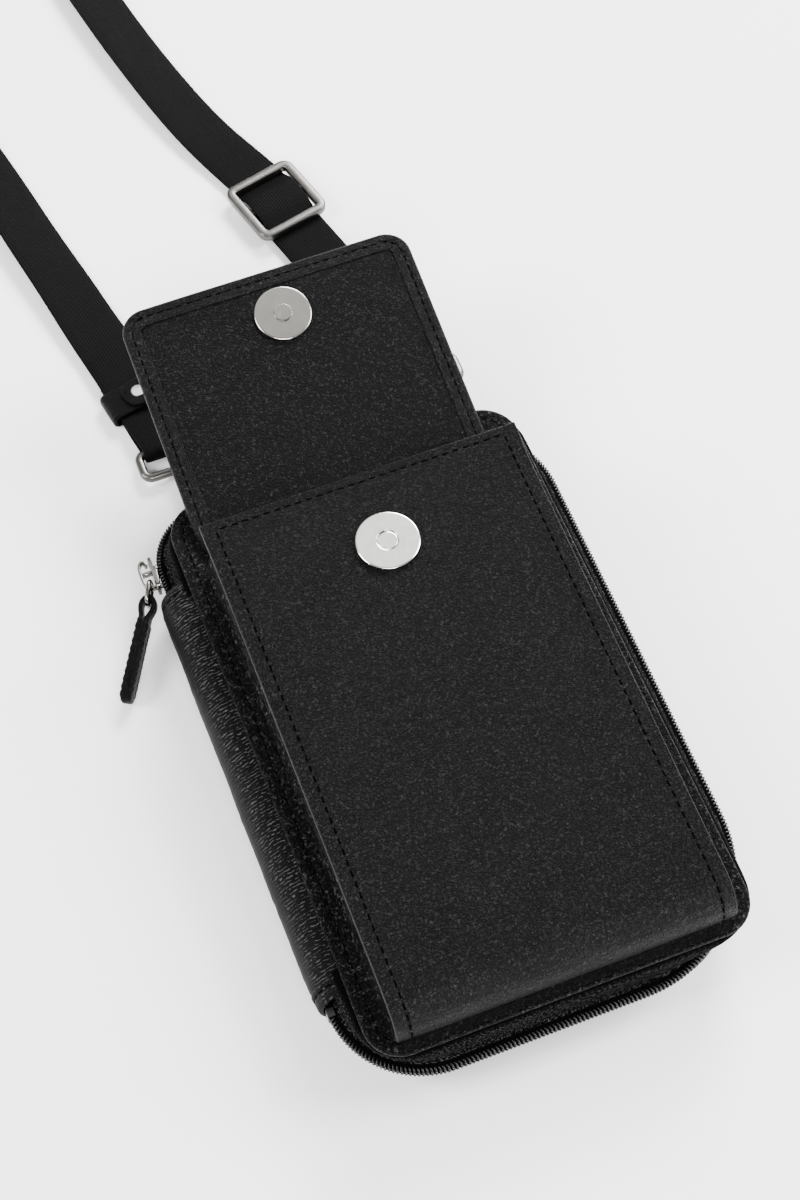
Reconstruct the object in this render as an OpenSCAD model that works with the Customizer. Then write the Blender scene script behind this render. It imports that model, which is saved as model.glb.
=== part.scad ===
// Crossbody phone pouch: a zip-round wallet with a phone pocket and a snap flap on its front.
// It lies on its back with the flap open. The origin is the middle of the back cover's resting face.
// X runs across the pouch, Y from its foot to its strap end, Z up from the table.

/* [Wallet] */
// Width across the closed zip
body_w = 126; // [118:1:138]
// Length across the closed zip
body_l = 200; // [190:1:215]
// Thickness of the closed wallet without the phone pocket
body_t = 25; // [22:0.5:29]
// Corner radius of the zip line
zip_corner_r = 20; // [16:1:24]
// How far the covers stand in from the zip line
cover_inset = 7; // [6:0.5:9]
// Corner radius of the covers
cover_corner_r = 12; // [9:1:14]
// Cover leather
cover_t = 1.8; // [1.5:0.1:2.2]
// Sewing margin round the boards
margin_w = 6; // [5:0.5:8]
// Stiffening board
board_t = 1; // [0.8:0.1:1.3]
// Lining cloth
lining_t = 0.6; // [0.4:0.1:0.9]
// Gap from each end of the spine to the start of the zip's corner
spine_gap = 10; // [9:1:14]
// How far the spine stands out past the zip line
spine_out = 1.5; // [0.5:0.5:3]
// Spine leather
spine_t = 1.5; // [1.2:0.1:1.7]

/* [Card pockets] */
// Leather of one card panel
card_t = 1; // [0.8:0.1:1.3]
// Height of the tallest card panel's top edge above the wallet's middle
card_top = 60; // [45:1:70]
// Step from one card panel to the next
card_step = 15; // [10:1:20]
// Note pocket panel
note_t = 1; // [0.8:0.1:1.3]
// Height of the note pocket's edge above the wallet's middle
note_top = 50; // [30:1:70]

/* [Zip] */
// Zip tape
tape_t = 0.8; // [0.6:0.1:1]
// Width of the closed coil
chain_w = 4.6; // [4:0.2:5.4]
// Depth of the coil
chain_depth = 2.2; // [1.8:0.1:2.6]
// Gap between the two coil halves
chain_gap = 0.2; // [0.1:0.1:0.4]
// Length of the slider
slider_l = 9; // [8:0.5:11]
// Width of the slider
slider_w = 7.6; // [7:0.2:9]
// Slider plate
slider_t = 1.6; // [1.2:0.1:2]
// Bridge on the slider that holds the pull link
bridge_h = 3.6; // [3.2:0.1:4.2]
// Wire of the pull link
link_wire = 1.4; // [1.2:0.1:1.6]
// Length of the pull link between its end wires
link_l = 7; // [6:0.5:9]
// Outer width of the pull link
link_w = 8; // [7:0.5:9]
// Length of the leather pull tab
tab_l = 32; // [24:1:36]
// Width of the leather pull tab
tab_w = 7.8; // [6:0.2:8]
// One layer of the pull tab's leather
tab_layer_t = 1.3; // [1:0.1:1.5]

/* [Phone pocket] */
// Distance from the zip line to each side of the phone pocket
pocket_side_gap = 13.7; // [12:0.1:18]
// Distance of the pocket's mouth from the zip line at the strap end
mouth_from_top = 30.2; // [26:0.2:40]
// Height of the pocket's mouth above the front cover
mouth_h = 23.7; // [20:0.1:27]
// Fall of the pocket front from the mouth to its foot, in degrees
pocket_tilt = 3.1; // [2:0.1:4]
// Distance of the pocket's foot from the zip line at the foot end
pocket_foot_gap = 8; // [7.5:0.5:14]
// Radius of the roll at the pocket's foot
roll_r = 10; // [8:0.5:11]
// Pocket leather
pocket_t = 1.8; // [1.5:0.1:2.2]
// Pocket lining
pocket_lining_t = 1; // [0.6:0.1:1.2]
// Side gusset leather
gusset_t = 1.5; // [1.2:0.1:1.8]
// How far the gussets stand in from the pocket's edges
gusset_inset = 0.3; // [0.2:0.1:0.6]

/* [Flap] */
// How far each side of the flap stands in from the pocket's side
flap_side_gap = 2.3; // [2:0.1:6]
// Distance from the pocket's mouth to the flap's crease
crease_from_mouth = 10.2; // [8:0.2:14]
// Length of the flap's root on the front cover
flap_root_l = 22; // [18:1:26]
// Length of the flap from its crease to its tip
flap_l = 76; // [68:1:84]
// Rise of the open flap, in degrees
flap_rise = 15; // [10:1:20]
// Corner radius of the flap's tip
flap_corner_r = 8; // [5:0.5:12]
// Flap leather
flap_t = 1.6; // [1.3:0.1:1.9]
// Flap lining leather
flap_lining_t = 1.4; // [1:0.1:1.6]

/* [Snap] */
// Place of the snap stud from the flap's tip
snap_from_tip = 16; // [14:0.5:20]
// Diameter of the socket disc on the pocket
socket_d = 19; // [16:0.5:21]
// Height of the socket disc
socket_t = 1.5; // [1.2:0.1:1.8]
// Hole in the socket disc
socket_hole_d = 6.6; // [6:0.1:7.5]
// Wall of the socket's metal shell
shell_wall = 0.4; // [0.3:0.05:0.5]
// Diameter of the stud disc on the flap
stud_d = 18; // [15:0.5:20]
// Height of the stud disc
stud_t = 1.2; // [1:0.1:1.5]
// Diameter of the stud's nub
nub_d = 5.8; // [5:0.1:5.9]
// Height of the stud's nub
nub_h = 1.2; // [0.8:0.1:1.4]
// Gap left between the closed snap halves
snap_gap = 0.4; // [0.3:0.1:0.8]
// Diameter of the washers behind the snap halves
washer_d = 14; // [12:0.5:15]
// Thickness of the washers
washer_t = 0.5; // [0.4:0.05:0.6]

/* [Strap hardware] */
// Wire radius of the strap rings
ring_wire_r = 1.5; // [1.2:0.1:1.7]
// Width of a strap ring between the middles of its side bars
ring_span = 23; // [22.5:0.5:26]
// Reach of a ring's lower bar past the cover's edge
ring_reach = 29.5; // [26:0.5:31]
// Distance between a ring's lower and upper bars
ring_l = 9.5; // [9:0.5:14]
// Radius of a ring's corners at the middle of its wire
ring_bend_r = 2.5; // [2:0.1:3]
// Distance from the cover's side to the middle of a leather strap tab
strap_tab_inset = 15.5; // [14:0.5:18]
// How far the left ring has slid outwards in its tab
ring_left_slide = 3; // [0:0.25:3.5]
// How far the right ring has slid outwards in its tab
ring_right_slide = 1.5; // [0:0.25:3.5]
// Width of a leather strap tab
strap_tab_w = 11; // [9:0.5:11]
// One layer of a strap tab's leather
strap_tab_t = 1.3; // [1.2:0.05:1.5]
// Outer width of the strap adjuster
adjuster_w = 26.5; // [26:0.5:29]
// Outer length of the strap adjuster
adjuster_l = 27; // [26:0.5:30]
// Width of the adjuster's bars
adjuster_bar_w = 3.2; // [2.6:0.1:3.4]
// Thickness of the adjuster
adjuster_t = 3; // [2.4:0.1:3.4]
// Diameter of the adjuster's centre bar
centre_bar_d = 2.4; // [2:0.1:2.6]
// Width of the leather keeper along the strap
keeper_l = 11; // [8:0.5:13]
// Keeper leather
keeper_t = 1.4; // [1.2:0.1:1.5]
// Diameter of the keeper rivet's head
rivet_d = 5; // [4:0.5:6]

/* [Strap] */
// Width of the webbing
web_w = 19; // [17:0.5:19]
// Thickness of the webbing
web_t = 1.2; // [1:0.1:1.2]

/* [Hidden] */
$fn = 48;

// Clearances and overruns
overrun = 1;
sliver = 0.01;
body_gap = 0.2;
soft_gap = 0.3;
running_gap = 0.08;
layer_gap = 0.1;
hull_sides = 32;

// Wallet levels and outlines
mid_z = body_t / 2;
cover_w = body_w - 2 * cover_inset;
cover_l = body_l - 2 * cover_inset;
inner_w = cover_w - 2 * margin_w;
inner_l = cover_l - 2 * margin_w;
inner_r = cover_corner_r - margin_w * 0.7;
board_z = cover_t;
lining_z = board_z + board_t;
cards_z = lining_z + lining_t;

// Zip line, slider park and wallet hinge
tape_top_inset = chain_depth + 0.1 * tape_t;
tape_top_z = mid_z - slider_w * 0.1;
arc_x = -body_w / 2 + zip_corner_r;
arc_y = body_l / 2 - zip_corner_r;
neck_w = slider_w * 0.16;
neck_l = slider_l * 0.22;
neck_back = slider_l * 0.44;
coil_start_y = arc_y - neck_back + neck_l + body_gap;
hinge_x = -body_w / 2 - spine_out;
spine_l = body_l - 2 * zip_corner_r - 2 * spine_gap;
notch_r = slider_w * 0.62;
stop_l = slider_l * 0.3;
stop_y = -spine_l / 2 - soft_gap - stop_l;

// Spine: an arc through the covers' edges and the furthest point out
spine_edge_x = -cover_w / 2 - sliver;
spine_half_h = mid_z - cover_t;
spine_sag = spine_edge_x - hinge_x;
spine_r = (spine_half_h * spine_half_h + spine_sag * spine_sag) / (2 * spine_sag);
spine_lip = margin_w * 0.9;
spine_lip_t = spine_t * 0.6;

// Phone pocket profile in the YZ plane
front_z = body_t;
pocket_w = body_w - 2 * pocket_side_gap;
mouth_y = body_l / 2 - mouth_from_top;
pocket_foot = body_l / 2 - pocket_foot_gap;
mouth_z = front_z + mouth_h;
roll_y = -pocket_foot + roll_r;
pocket_run = (mouth_y - roll_y + roll_r * sin(pocket_tilt)) / cos(pocket_tilt);
roll_z = mouth_z - pocket_run * sin(pocket_tilt) - roll_r * cos(pocket_tilt);
pocket_wall = pocket_t + pocket_lining_t;
gusset_x = pocket_w / 2 - gusset_inset - gusset_t;
roll_steps = 12;

// Flap: crease, bridge over the pocket's mouth, and lid
flap_w = pocket_w - 2 * flap_side_gap;
flap_all_t = flap_t + flap_lining_t;
crease_y = mouth_y + crease_from_mouth;
crease_z = front_z + flap_all_t;
closed_gap = socket_t + stud_t + snap_gap;
bridge_l = mouth_z - crease_z + (crease_y - mouth_y) * tan(pocket_tilt) + closed_gap / cos(pocket_tilt);
stud_y = flap_l - snap_from_tip;
stud_run = stud_y - bridge_l;
socket_y = stud_run - (crease_y - mouth_y + closed_gap * sin(pocket_tilt)) / cos(pocket_tilt);

// Strap rings and strap ends
ring_z = cover_t + strap_tab_t;
strap_tab_root_y = cover_l / 2 - margin_w * 0.8;
strap_tab_x = cover_w / 2 - strap_tab_inset;
ring_left_x = strap_tab_x + ring_left_slide;
ring_right_x = strap_tab_x + ring_right_slide;
ring_low_y = cover_l / 2 + ring_reach;
ring_high_y = ring_low_y + ring_l;
left_turn = 10;
right_turn = 13.8;
fold_r = ring_wire_r + 0.2 * web_t + web_t / 2;
fold_steps = 6;
left_end_l = 32;
right_fold_l = 26;
low_layer_z = 2.2;
high_layer_z = low_layer_z + web_t + layer_gap / 2;
fold_ease = 0.25;
keeper_run = 22.5;
adjuster_run = 86;
adjuster_x = ring_right_x - adjuster_run * sin(right_turn);
adjuster_y = ring_high_y + adjuster_run * cos(right_turn);
web_edge = 0.3 * web_t;
web_lift = 0.3;
under_z = web_lift + web_t / 2 + layer_gap;
over_z = under_z + web_t + layer_gap / 2;
adjuster_low_z = over_z + web_t / 2 + layer_gap;
centre_bar_z = adjuster_low_z + centre_bar_d / 2;

// The strap's route from the left end to the adjuster: x, y past the rings' upper bars,
// lift off the table, tilt in degrees
strap_route = [
    [-49.2, 32.4, 2.6, 0], [-51, 43, 2, 0], [-53.5, 56, 1, -5], [-57, 76, 0.4, -10],
    [-61.5, 100, 0, -14], [-66, 126, 0, -15], [-77, 183, 0, -16], [-83, 216, 0, -20],
    [-89, 252, 0, -30], [-94, 288, 0, -45], [-97.5, 324, 0, -62], [-99.5, 360, 0, -78],
    [-100, 393, 0, -88], [-100, 503, 0, -90], [-98.5, 514, 0, -90], [-94.5, 524, 0, -90],
    [-88, 532.5, 0, -90], [-79.5, 539, 0, -90], [-69, 543, 0, -90], [-58.5, 544.5, 0, -90],
    [-48, 543, 0, -90], [-37.5, 539, 0, -90], [-29, 532.5, 0, -90], [-22.5, 524, 0, -90],
    [-18.5, 514, 0, -90], [-17, 503, 0, -90], [-17, 433, 0, -86], [-17, 398, 0, -75],
    [-17, 366, 0, -58], [-16.5, 336, 0, -40], [-16, 305, 0, -21], [-15, 273, 0, -4],
    [-13.5, 246, 0, 6], [-11, 222, 0, 12], [-8.4, 202, 0, 14], [-2.7, 169, 0, 13],
    [4.6, 137, 0, 9], [9.2, 121.5, 0.2, 6], [14.2, 108, 0.7, 2], [18.1, 97.3, 1.4, 0]
];

// Vectors
function unit(v) = v / norm(v);
function along(p, i) = unit(p[min(i + 1, len(p) - 1)] - p[max(i - 1, 0)]);

// Cross section of the webbing: a flat strip with worn edges
function web_section(w, t, c) = [
    [w / 2, c - t / 2], [w / 2, t / 2 - c], [w / 2 - c, t / 2], [c - w / 2, t / 2],
    [-w / 2, t / 2 - c], [-w / 2, c - t / 2], [c - w / 2, -t / 2], [w / 2 - c, -t / 2]
];

// Sweeps the webbing along points, with the direction of its width at each
module ribbon(points, widths) {
    section = web_section(web_w, web_t, web_edge);
    sides = len(section);
    last = len(points) - 1;
    rings = [for (i = [0:last])
        let(wide = unit(widths[i]), up = unit(cross(along(points, i), -wide)))
        for (s = section) points[i] + wide * s[0] + up * s[1]];
    skin = [for (i = [0:last - 1], k = [0:sides - 1])
        let(a = i * sides + k, b = i * sides + (k + 1) % sides)
        each k < sides / 2 ? [[a, a + sides, b + sides], [a, b + sides, b]]
            : [[a, a + sides, b], [b, a + sides, b + sides]]];
    ends = [
        [for (k = [0:sides - 1]) k],
        [for (k = [sides - 1:-1:0]) last * sides + k]
    ];
    polyhedron(rings, concat(skin, ends));
}

// A rectangle with round corners
module rounded_outline(w, l, r) {
    square([w - 2 * r, l], center = true);
    square([w, l - 2 * r], center = true);
    for (sx = [-1, 1], sy = [-1, 1])
        translate([sx * (w / 2 - r), sy * (l / 2 - r)]) circle(r);
}

module plate(z, t, w, l, r) {
    translate([0, 0, z]) linear_extrude(t) rounded_outline(w, l, r);
}

// Puts children on the front half, as the mirror image of the back half
module front_half() {
    translate([0, 0, body_t]) mirror([0, 0, 1]) children();
}

// The space that the two strap tabs take out of the back shell
module strap_tab_space() {
    for (side = [-1, 1])
        translate([side * strap_tab_x - strap_tab_w / 2 - soft_gap, strap_tab_root_y - soft_gap, cover_t - overrun])
            cube([strap_tab_w + 2 * soft_gap, body_l, 2 * strap_tab_t + soft_gap + overrun]);
}

// The space beside the spine, where the zip tape and coil stop
module spine_space() {
    translate([-body_w, -spine_l / 2 - soft_gap, -overrun])
        cube([body_w / 2 + margin_w + cover_inset, spine_l + 2 * soft_gap, body_t + 2 * overrun]);
}

// Parts of the wallet's back half
module board() {
    plate(board_z, board_t, inner_w, inner_l, inner_r);
}

module lining() {
    plate(lining_z, lining_t, inner_w, inner_l, inner_r);
}

module card_panel(k) {
    top = card_top - k * card_step;
    intersection() {
        plate(cards_z + k * card_t, card_t, inner_w, inner_l, inner_r);
        translate([-body_w / 2, top - body_l, 0]) cube([body_w, body_l, body_t]);
    }
}

module tape_cone(inset) {
    low_r = cover_corner_r - inset;
    high_r = zip_corner_r - tape_top_inset - inset;
    hull() {
        translate([0, 0, cover_t]) linear_extrude(sliver)
            rounded_outline(cover_w - 2 * inset, cover_l - 2 * inset, low_r, $fn = hull_sides);
        translate([0, 0, tape_top_z - sliver]) linear_extrude(sliver)
            rounded_outline(body_w - 2 * (tape_top_inset + inset), body_l - 2 * (tape_top_inset + inset),
                high_r, $fn = hull_sides);
    }
}

module half_tape() {
    difference() {
        tape_cone(0);
        tape_cone(tape_t);
        spine_space();
    }
    difference() {
        plate(cover_t, tape_t, cover_w - tape_t, cover_l - tape_t, cover_corner_r - tape_t / 2);
        plate(cover_t - overrun, tape_t + 2 * overrun, inner_w + body_gap, inner_l + body_gap, inner_r);
        spine_space();
    }
}

module half_coil() {
    z = mid_z - chain_w / 2;
    h = chain_w / 2 - chain_gap / 2;
    difference() {
        plate(z, h, body_w, body_l, zip_corner_r);
        plate(z - overrun, h + 2 * overrun, body_w - 2 * chain_depth, body_l - 2 * chain_depth,
            zip_corner_r - chain_depth);
        spine_space();
        translate([-body_w, stop_y - body_gap, 0])
            cube([body_w / 2 + zip_corner_r, coil_start_y - stop_y + body_gap, body_t]);
    }
}

// Room round the wallet's hinge line for the slider and the bottom stop
module hinge_notch() {
    translate([hinge_x, 0, mid_z]) rotate([90, 0, 0]) cylinder(r = notch_r, h = body_l, center = true);
}

// Points of the pocket's profile at a depth below its outer face, from the mouth to the cover
function pocket_line(depth) = concat(
    [[mouth_y + depth * sin(pocket_tilt), mouth_z - depth * cos(pocket_tilt)]],
    [for (i = [0:roll_steps])
        let(a = 90 + pocket_tilt + i * (90 - pocket_tilt) / roll_steps, r = roll_r - depth)
        [roll_y + r * cos(a), roll_z + r * sin(a)]],
    [[roll_y - roll_r + depth, front_z]]
);

function reversed(p) = [for (i = [len(p) - 1:-1:0]) p[i]];

// Extrudes a YZ outline across the pouch
module across(x, w) {
    translate([x, 0, 0]) rotate([90, 0, 90]) linear_extrude(w) children();
}

module pocket_layer(outer, inner) {
    across(-pocket_w / 2, pocket_w)
        polygon(concat(pocket_line(outer), reversed(pocket_line(inner))));
}

module gusset(x) {
    across(x, gusset_t) polygon(concat(pocket_line(pocket_wall), [[mouth_y, front_z]]));
}

// Places children on the pocket's face at the socket, or on the open flap at its crease
module at_socket() {
    translate([0, mouth_y, mouth_z]) rotate([pocket_tilt, 0, 0]) translate([0, -socket_y, 0]) children();
}

module on_flap() {
    translate([0, crease_y, crease_z]) rotate([flap_rise, 0, 0]) children();
}

module bridge_layer(z, t) {
    on_flap() translate([-flap_w / 2, body_gap / 2, z]) cube([flap_w, bridge_l - body_gap, t]);
}

module lid_layer(z, t) {
    start = bridge_l + body_gap / 2;
    long = flap_l - start;
    on_flap() translate([0, start, z]) linear_extrude(t) {
        translate([-flap_w / 2, 0]) square([flap_w, long - flap_corner_r]);
        translate([flap_corner_r - flap_w / 2, 0]) square([flap_w - 2 * flap_corner_r, long]);
        for (side = [-1, 1])
            translate([side * (flap_w / 2 - flap_corner_r), long - flap_corner_r]) circle(flap_corner_r);
    }
}

// A rectangular wire ring lying flat, its lower bar at the origin
module wire_ring(span, high, bend, wire) {
    long = span - 2 * bend;
    tall = high - 2 * bend;
    for (y = [0, high])
        translate([0, y, 0]) rotate([0, 90, 0]) cylinder(r = wire, h = long, center = true);
    for (side = [-1, 1])
        translate([side * span / 2, high / 2, 0]) rotate([90, 0, 0]) cylinder(r = wire, h = tall, center = true);
    for (turn = [0:3]) {
        x = (turn == 0 || turn == 3) ? long / 2 : -long / 2;
        y = turn < 2 ? high - bend : bend;
        translate([x, y, 0]) rotate([0, 0, turn * 90])
            rotate_extrude(angle = 90) translate([bend, 0]) circle(wire);
    }
}

module strap_tab(side) {
    long = ring_low_y - strap_tab_root_y;
    difference() {
        union() {
            translate([side * strap_tab_x - strap_tab_w / 2, strap_tab_root_y, cover_t])
                cube([strap_tab_w, long, 2 * strap_tab_t]);
            translate([side * strap_tab_x, ring_low_y, ring_z]) rotate([0, 90, 0])
                cylinder(r = ring_wire_r + running_gap + strap_tab_t, h = strap_tab_w, center = true);
        }
        translate([side * strap_tab_x, ring_low_y, ring_z]) rotate([0, 90, 0])
            cylinder(r = ring_wire_r + running_gap, h = strap_tab_w + 2 * overrun, center = true);
    }
}

// The direction across a strap that lies turned from Y
function across_web(turn) = [cos(turn), sin(turn), 0];

// Webbing folded round a ring's upper bar: lower layer, fold, upper layer
function fold_points(x, turn, low_l, high_l) = concat(
    [for (s = [low_l, low_l * 0.5, low_l * 0.25])
        [x - s * tan(turn), ring_high_y + s, s > low_l * 0.3 ? low_layer_z : ring_z - fold_r + fold_ease]],
    [for (i = [0:fold_steps])
        let(a = 270 - i * 180 / fold_steps)
        [x, ring_high_y + fold_r * cos(a), ring_z + fold_r * sin(a)]],
    [for (s = [high_l * 0.25, high_l * 0.5, high_l])
        [x - s * tan(turn), ring_high_y + s, s < high_l * 0.3 ? ring_z + fold_r - fold_ease : high_layer_z]]
);

module folded_end(x, turn, low_l, high_l) {
    points = fold_points(x, turn, low_l, high_l);
    ribbon(points, [for (p = points) let(share = max(0, p[1] - ring_high_y) / high_l) across_web(turn * share)]);
}

// Places children on the left strap end or at the adjuster, with Y along the webbing
module on_left_end(s) {
    translate([-ring_left_x - s * tan(left_turn), ring_high_y + s, 0]) rotate([0, 0, left_turn]) children();
}

module at_adjuster() {
    translate([adjuster_x, adjuster_y, 0]) rotate([0, 0, right_turn]) children();
}

// The strap's route with a smooth midpoint added between each two entries
function midpoint(p, i) = i == 0 || i == len(p) - 2 ? (p[i] + p[i + 1]) / 2
    : (9 * (p[i] + p[i + 1]) - p[i - 1] - p[i + 2]) / 16;
function smoothed(p) = [for (i = [0:len(p) - 1]) each i < len(p) - 1 ? [p[i], midpoint(p, i)] : [p[i]]];

function web_centre_z(lift, tilt) =
    web_lift + lift + abs(sin(tilt)) * web_w / 2 + cos(tilt) * web_t / 2;

module loop_ribbon() {
    route = smoothed(strap_route);
    points = [for (p = route) [p[0], ring_high_y + p[1], web_centre_z(p[2], p[3])]];
    last = len(points) - 1;
    widths = [for (i = [0:last])
        let(t = along(points, i), tilt = route[i][3])
        let(side = i == 0 ? across_web(left_turn) : i == last ? -across_web(right_turn) : unit([t[1], -t[0], 0]))
        side * cos(tilt) + [0, 0, sin(tilt)]];
    ribbon(points, widths);
}

// Back half of the wallet
module back_cover() {
    color("#262524") plate(0, cover_t, cover_w, cover_l, cover_corner_r);
}

module back_board() {
    color("#6b5a45") board();
}

module back_lining() {
    color("#2b2b2d") lining();
}

module card_panel_tall() {
    color("#2e2c2b") card_panel(0);
}

module card_panel_middle() {
    color("#2e2c2b") card_panel(1);
}

module card_panel_short() {
    color("#2e2c2b") card_panel(2);
}

module back_zip_tape() {
    color("#1c1c1e") difference() {
        half_tape();
        strap_tab_space();
    }
}

module back_zip_coil() {
    color("#111113") half_coil();
}

module zip_bottom_stop() {
    color("#1a1a1c")
        translate([-body_w / 2, stop_y, mid_z - chain_w / 2]) cube([chain_depth, stop_l - body_gap, chain_w]);
}

module spine() {
    color("#232221") {
        translate([hinge_x + spine_r, 0, mid_z]) rotate([90, 0, 0])
            linear_extrude(spine_l, center = true)
                intersection() {
                    difference() {
                        circle(spine_r);
                        circle(spine_r - spine_t);
                    }
                    translate([-spine_r - overrun, -spine_half_h])
                        square([spine_edge_x - hinge_x + overrun, 2 * spine_half_h]);
                }
        for (z = [cover_t, body_t - cover_t - spine_lip_t])
            translate([spine_edge_x - spine_t, -spine_l / 2, z]) cube([spine_lip + spine_t, spine_l, spine_lip_t]);
    }
}

module left_strap_tab() {
    color("#232221") strap_tab(-1);
}

module right_strap_tab() {
    color("#232221") strap_tab(1);
}

// Front half of the wallet
module front_cover() {
    color("#262524") front_half() plate(0, cover_t, cover_w, cover_l, cover_corner_r);
}

module front_board() {
    color("#6b5a45") front_half() board();
}

module front_lining() {
    color("#2b2b2d") front_half() lining();
}

module note_pocket_panel() {
    color("#2e2c2b") front_half() intersection() {
        plate(cards_z, note_t, inner_w, inner_l, inner_r);
        translate([-body_w / 2, note_top - body_l, 0]) cube([body_w, body_l, body_t]);
    }
}

module front_zip_tape() {
    color("#1c1c1e") difference() {
        front_half() half_tape();
        hinge_notch();
    }
}

module front_zip_coil() {
    color("#111113") front_half() half_coil();
}

// Phone pocket
module pocket_front() {
    color("#262524") pocket_layer(0, pocket_t);
}

module pocket_lining() {
    color("#2b2b2d") pocket_layer(pocket_t, pocket_wall);
}

module left_gusset() {
    color("#232221") gusset(-gusset_x - gusset_t);
}

module right_gusset() {
    color("#232221") gusset(gusset_x);
}

module socket_shell() {
    color("#d8d8d6") at_socket() difference() {
        cylinder(d = socket_d, h = socket_t);
        translate([0, 0, -overrun]) cylinder(d = socket_hole_d, h = socket_t + 2 * overrun);
        translate([0, 0, -overrun]) difference() {
            cylinder(d = socket_d - 2 * shell_wall, h = socket_t + overrun - shell_wall);
            cylinder(d = socket_hole_d + 2 * shell_wall, h = socket_t + overrun);
        }
    }
}

module socket_magnet() {
    color("#4a4a4c") at_socket() difference() {
        cylinder(d = socket_d - 2 * shell_wall - sliver, h = socket_t - shell_wall - sliver);
        translate([0, 0, -overrun])
            cylinder(d = socket_hole_d + 2 * shell_wall + sliver, h = socket_t + 2 * overrun);
    }
}

module socket_washer() {
    color("#9a9a98") at_socket() translate([0, 0, -pocket_wall - washer_t]) cylinder(d = washer_d, h = washer_t);
}

// Flap
module flap_root() {
    color("#232221")
        translate([-flap_w / 2, crease_y - flap_root_l, front_z]) cube([flap_w, flap_root_l, flap_all_t]);
}

module flap_bridge() {
    color("#262524") bridge_layer(-flap_all_t, flap_t);
}

module flap_bridge_lining() {
    color("#2e2c2b") bridge_layer(-flap_lining_t, flap_lining_t);
}

module flap_lid() {
    color("#262524") difference() {
        lid_layer(-flap_all_t, flap_t);
        on_flap() translate([0, stud_y, -flap_lining_t - washer_t])
            cylinder(d = washer_d + sliver, h = washer_t + overrun);
    }
}

module flap_lid_lining() {
    color("#2e2c2b") lid_layer(-flap_lining_t, flap_lining_t);
}

module stud_disc() {
    color("#cfcfcd") on_flap() translate([0, stud_y, 0]) {
        cylinder(d = stud_d, h = stud_t);
        cylinder(d = nub_d, h = stud_t + nub_h);
    }
}

module stud_washer() {
    color("#9a9a98") on_flap() translate([0, stud_y, -flap_lining_t - washer_t])
        cylinder(d = washer_d, h = washer_t);
}

// Zip slider, its link and its leather pull
module zip_slider() {
    gap = soft_gap;
    plate_x = -zip_corner_r - gap - slider_t;
    inner_x = -zip_corner_r + tape_top_inset + 2.2 * tape_t;
    lip_x = -zip_corner_r + chain_depth * 0.4;
    loop_l = slider_l * 0.84;
    color("#c9c8c6") translate([arc_x, arc_y, mid_z]) difference() {
        union() {
            translate([plate_x, 0, 0]) rotate([0, 90, 0]) linear_extrude(slider_t)
                polygon([
                    [-slider_w / 2, -slider_l * 0.2], [-slider_w / 2, slider_l / 2], [slider_w / 2, slider_l / 2],
                    [slider_w / 2, -slider_l * 0.2], [slider_w * 0.3, -slider_l / 2], [-slider_w * 0.3, -slider_l / 2]
                ]);
            for (side = [-1, 1])
                translate([plate_x, -slider_l * 0.2, side > 0 ? chain_w / 2 + gap : -slider_w / 2])
                    cube([lip_x - plate_x, slider_l * 0.7, slider_w / 2 - chain_w / 2 - gap]);
            translate([plate_x, -neck_back, -neck_w / 2]) cube([inner_x - plate_x, neck_l, neck_w]);
            translate([inner_x, -neck_back, -slider_w * 0.26])
                cube([slider_t * 0.6, slider_l * 0.72, slider_w * 0.52]);
            translate([plate_x - bridge_h, -loop_l / 2, -link_wire * 0.7])
                cube([bridge_h, loop_l, link_wire * 1.4]);
        }
        translate([plate_x - bridge_h + link_wire * 0.8, -loop_l * 0.28, -slider_w])
            cube([bridge_h - link_wire * 0.8, loop_l * 0.56, 2 * slider_w]);
    }
}

// The pull link's hinge is the wire that stands in the slider's bridge
pull_x = arc_x - zip_corner_r - soft_gap - slider_t - (bridge_h - link_wire * 0.8) / 2;
pull_y = arc_y - slider_l * 0.1;
pull_droop = 13.5;
link_turn = 245;
tab_turn = -7;

module on_link() {
    translate([pull_x, pull_y, mid_z]) rotate([0, pull_droop, link_turn]) children();
}

module on_tab() {
    on_link() translate([link_l, 0, 0]) rotate([0, 0, tab_turn]) children();
}

module pull_link() {
    r = link_wire / 2;
    high = link_w / 2 - r;
    color("#c9c8c6") on_link() {
        for (x = [0, link_l]) translate([x, 0, 0]) cylinder(r = r, h = 2 * high, center = true);
        for (side = [-1, 1]) {
            translate([0, 0, side * high]) rotate([0, 90, 0]) cylinder(r = r, h = link_l);
            for (x = [0, link_l]) translate([x, 0, side * high]) sphere(r);
        }
    }
}

module pull_tab() {
    eye_r = link_wire / 2 + running_gap;
    eye_w = link_w - 2 * link_wire - 2 * soft_gap;
    neck = link_wire * 2;
    thick = 2 * tab_layer_t;
    color("#232221") on_tab() difference() {
        union() {
            cylinder(r = eye_r + tab_layer_t, h = eye_w, center = true);
            translate([0, -thick / 2, -eye_w / 2]) cube([neck + sliver, thick, eye_w]);
            translate([neck, -thick / 2, -tab_w / 2]) cube([tab_l - neck - tab_w / 2, thick, tab_w]);
            translate([tab_l - tab_w / 2, 0, 0]) rotate([90, 0, 0]) cylinder(d = tab_w, h = thick, center = true);
        }
        cylinder(r = eye_r, h = link_w, center = true);
    }
}

// Left strap end
module left_ring() {
    color("#bdbcba") translate([-ring_left_x, ring_low_y, ring_z])
        wire_ring(ring_span, ring_l, ring_bend_r, ring_wire_r);
}

module strap_left_end() {
    color("#161618") folded_end(-ring_left_x, left_turn, left_end_l, left_end_l);
}

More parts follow.
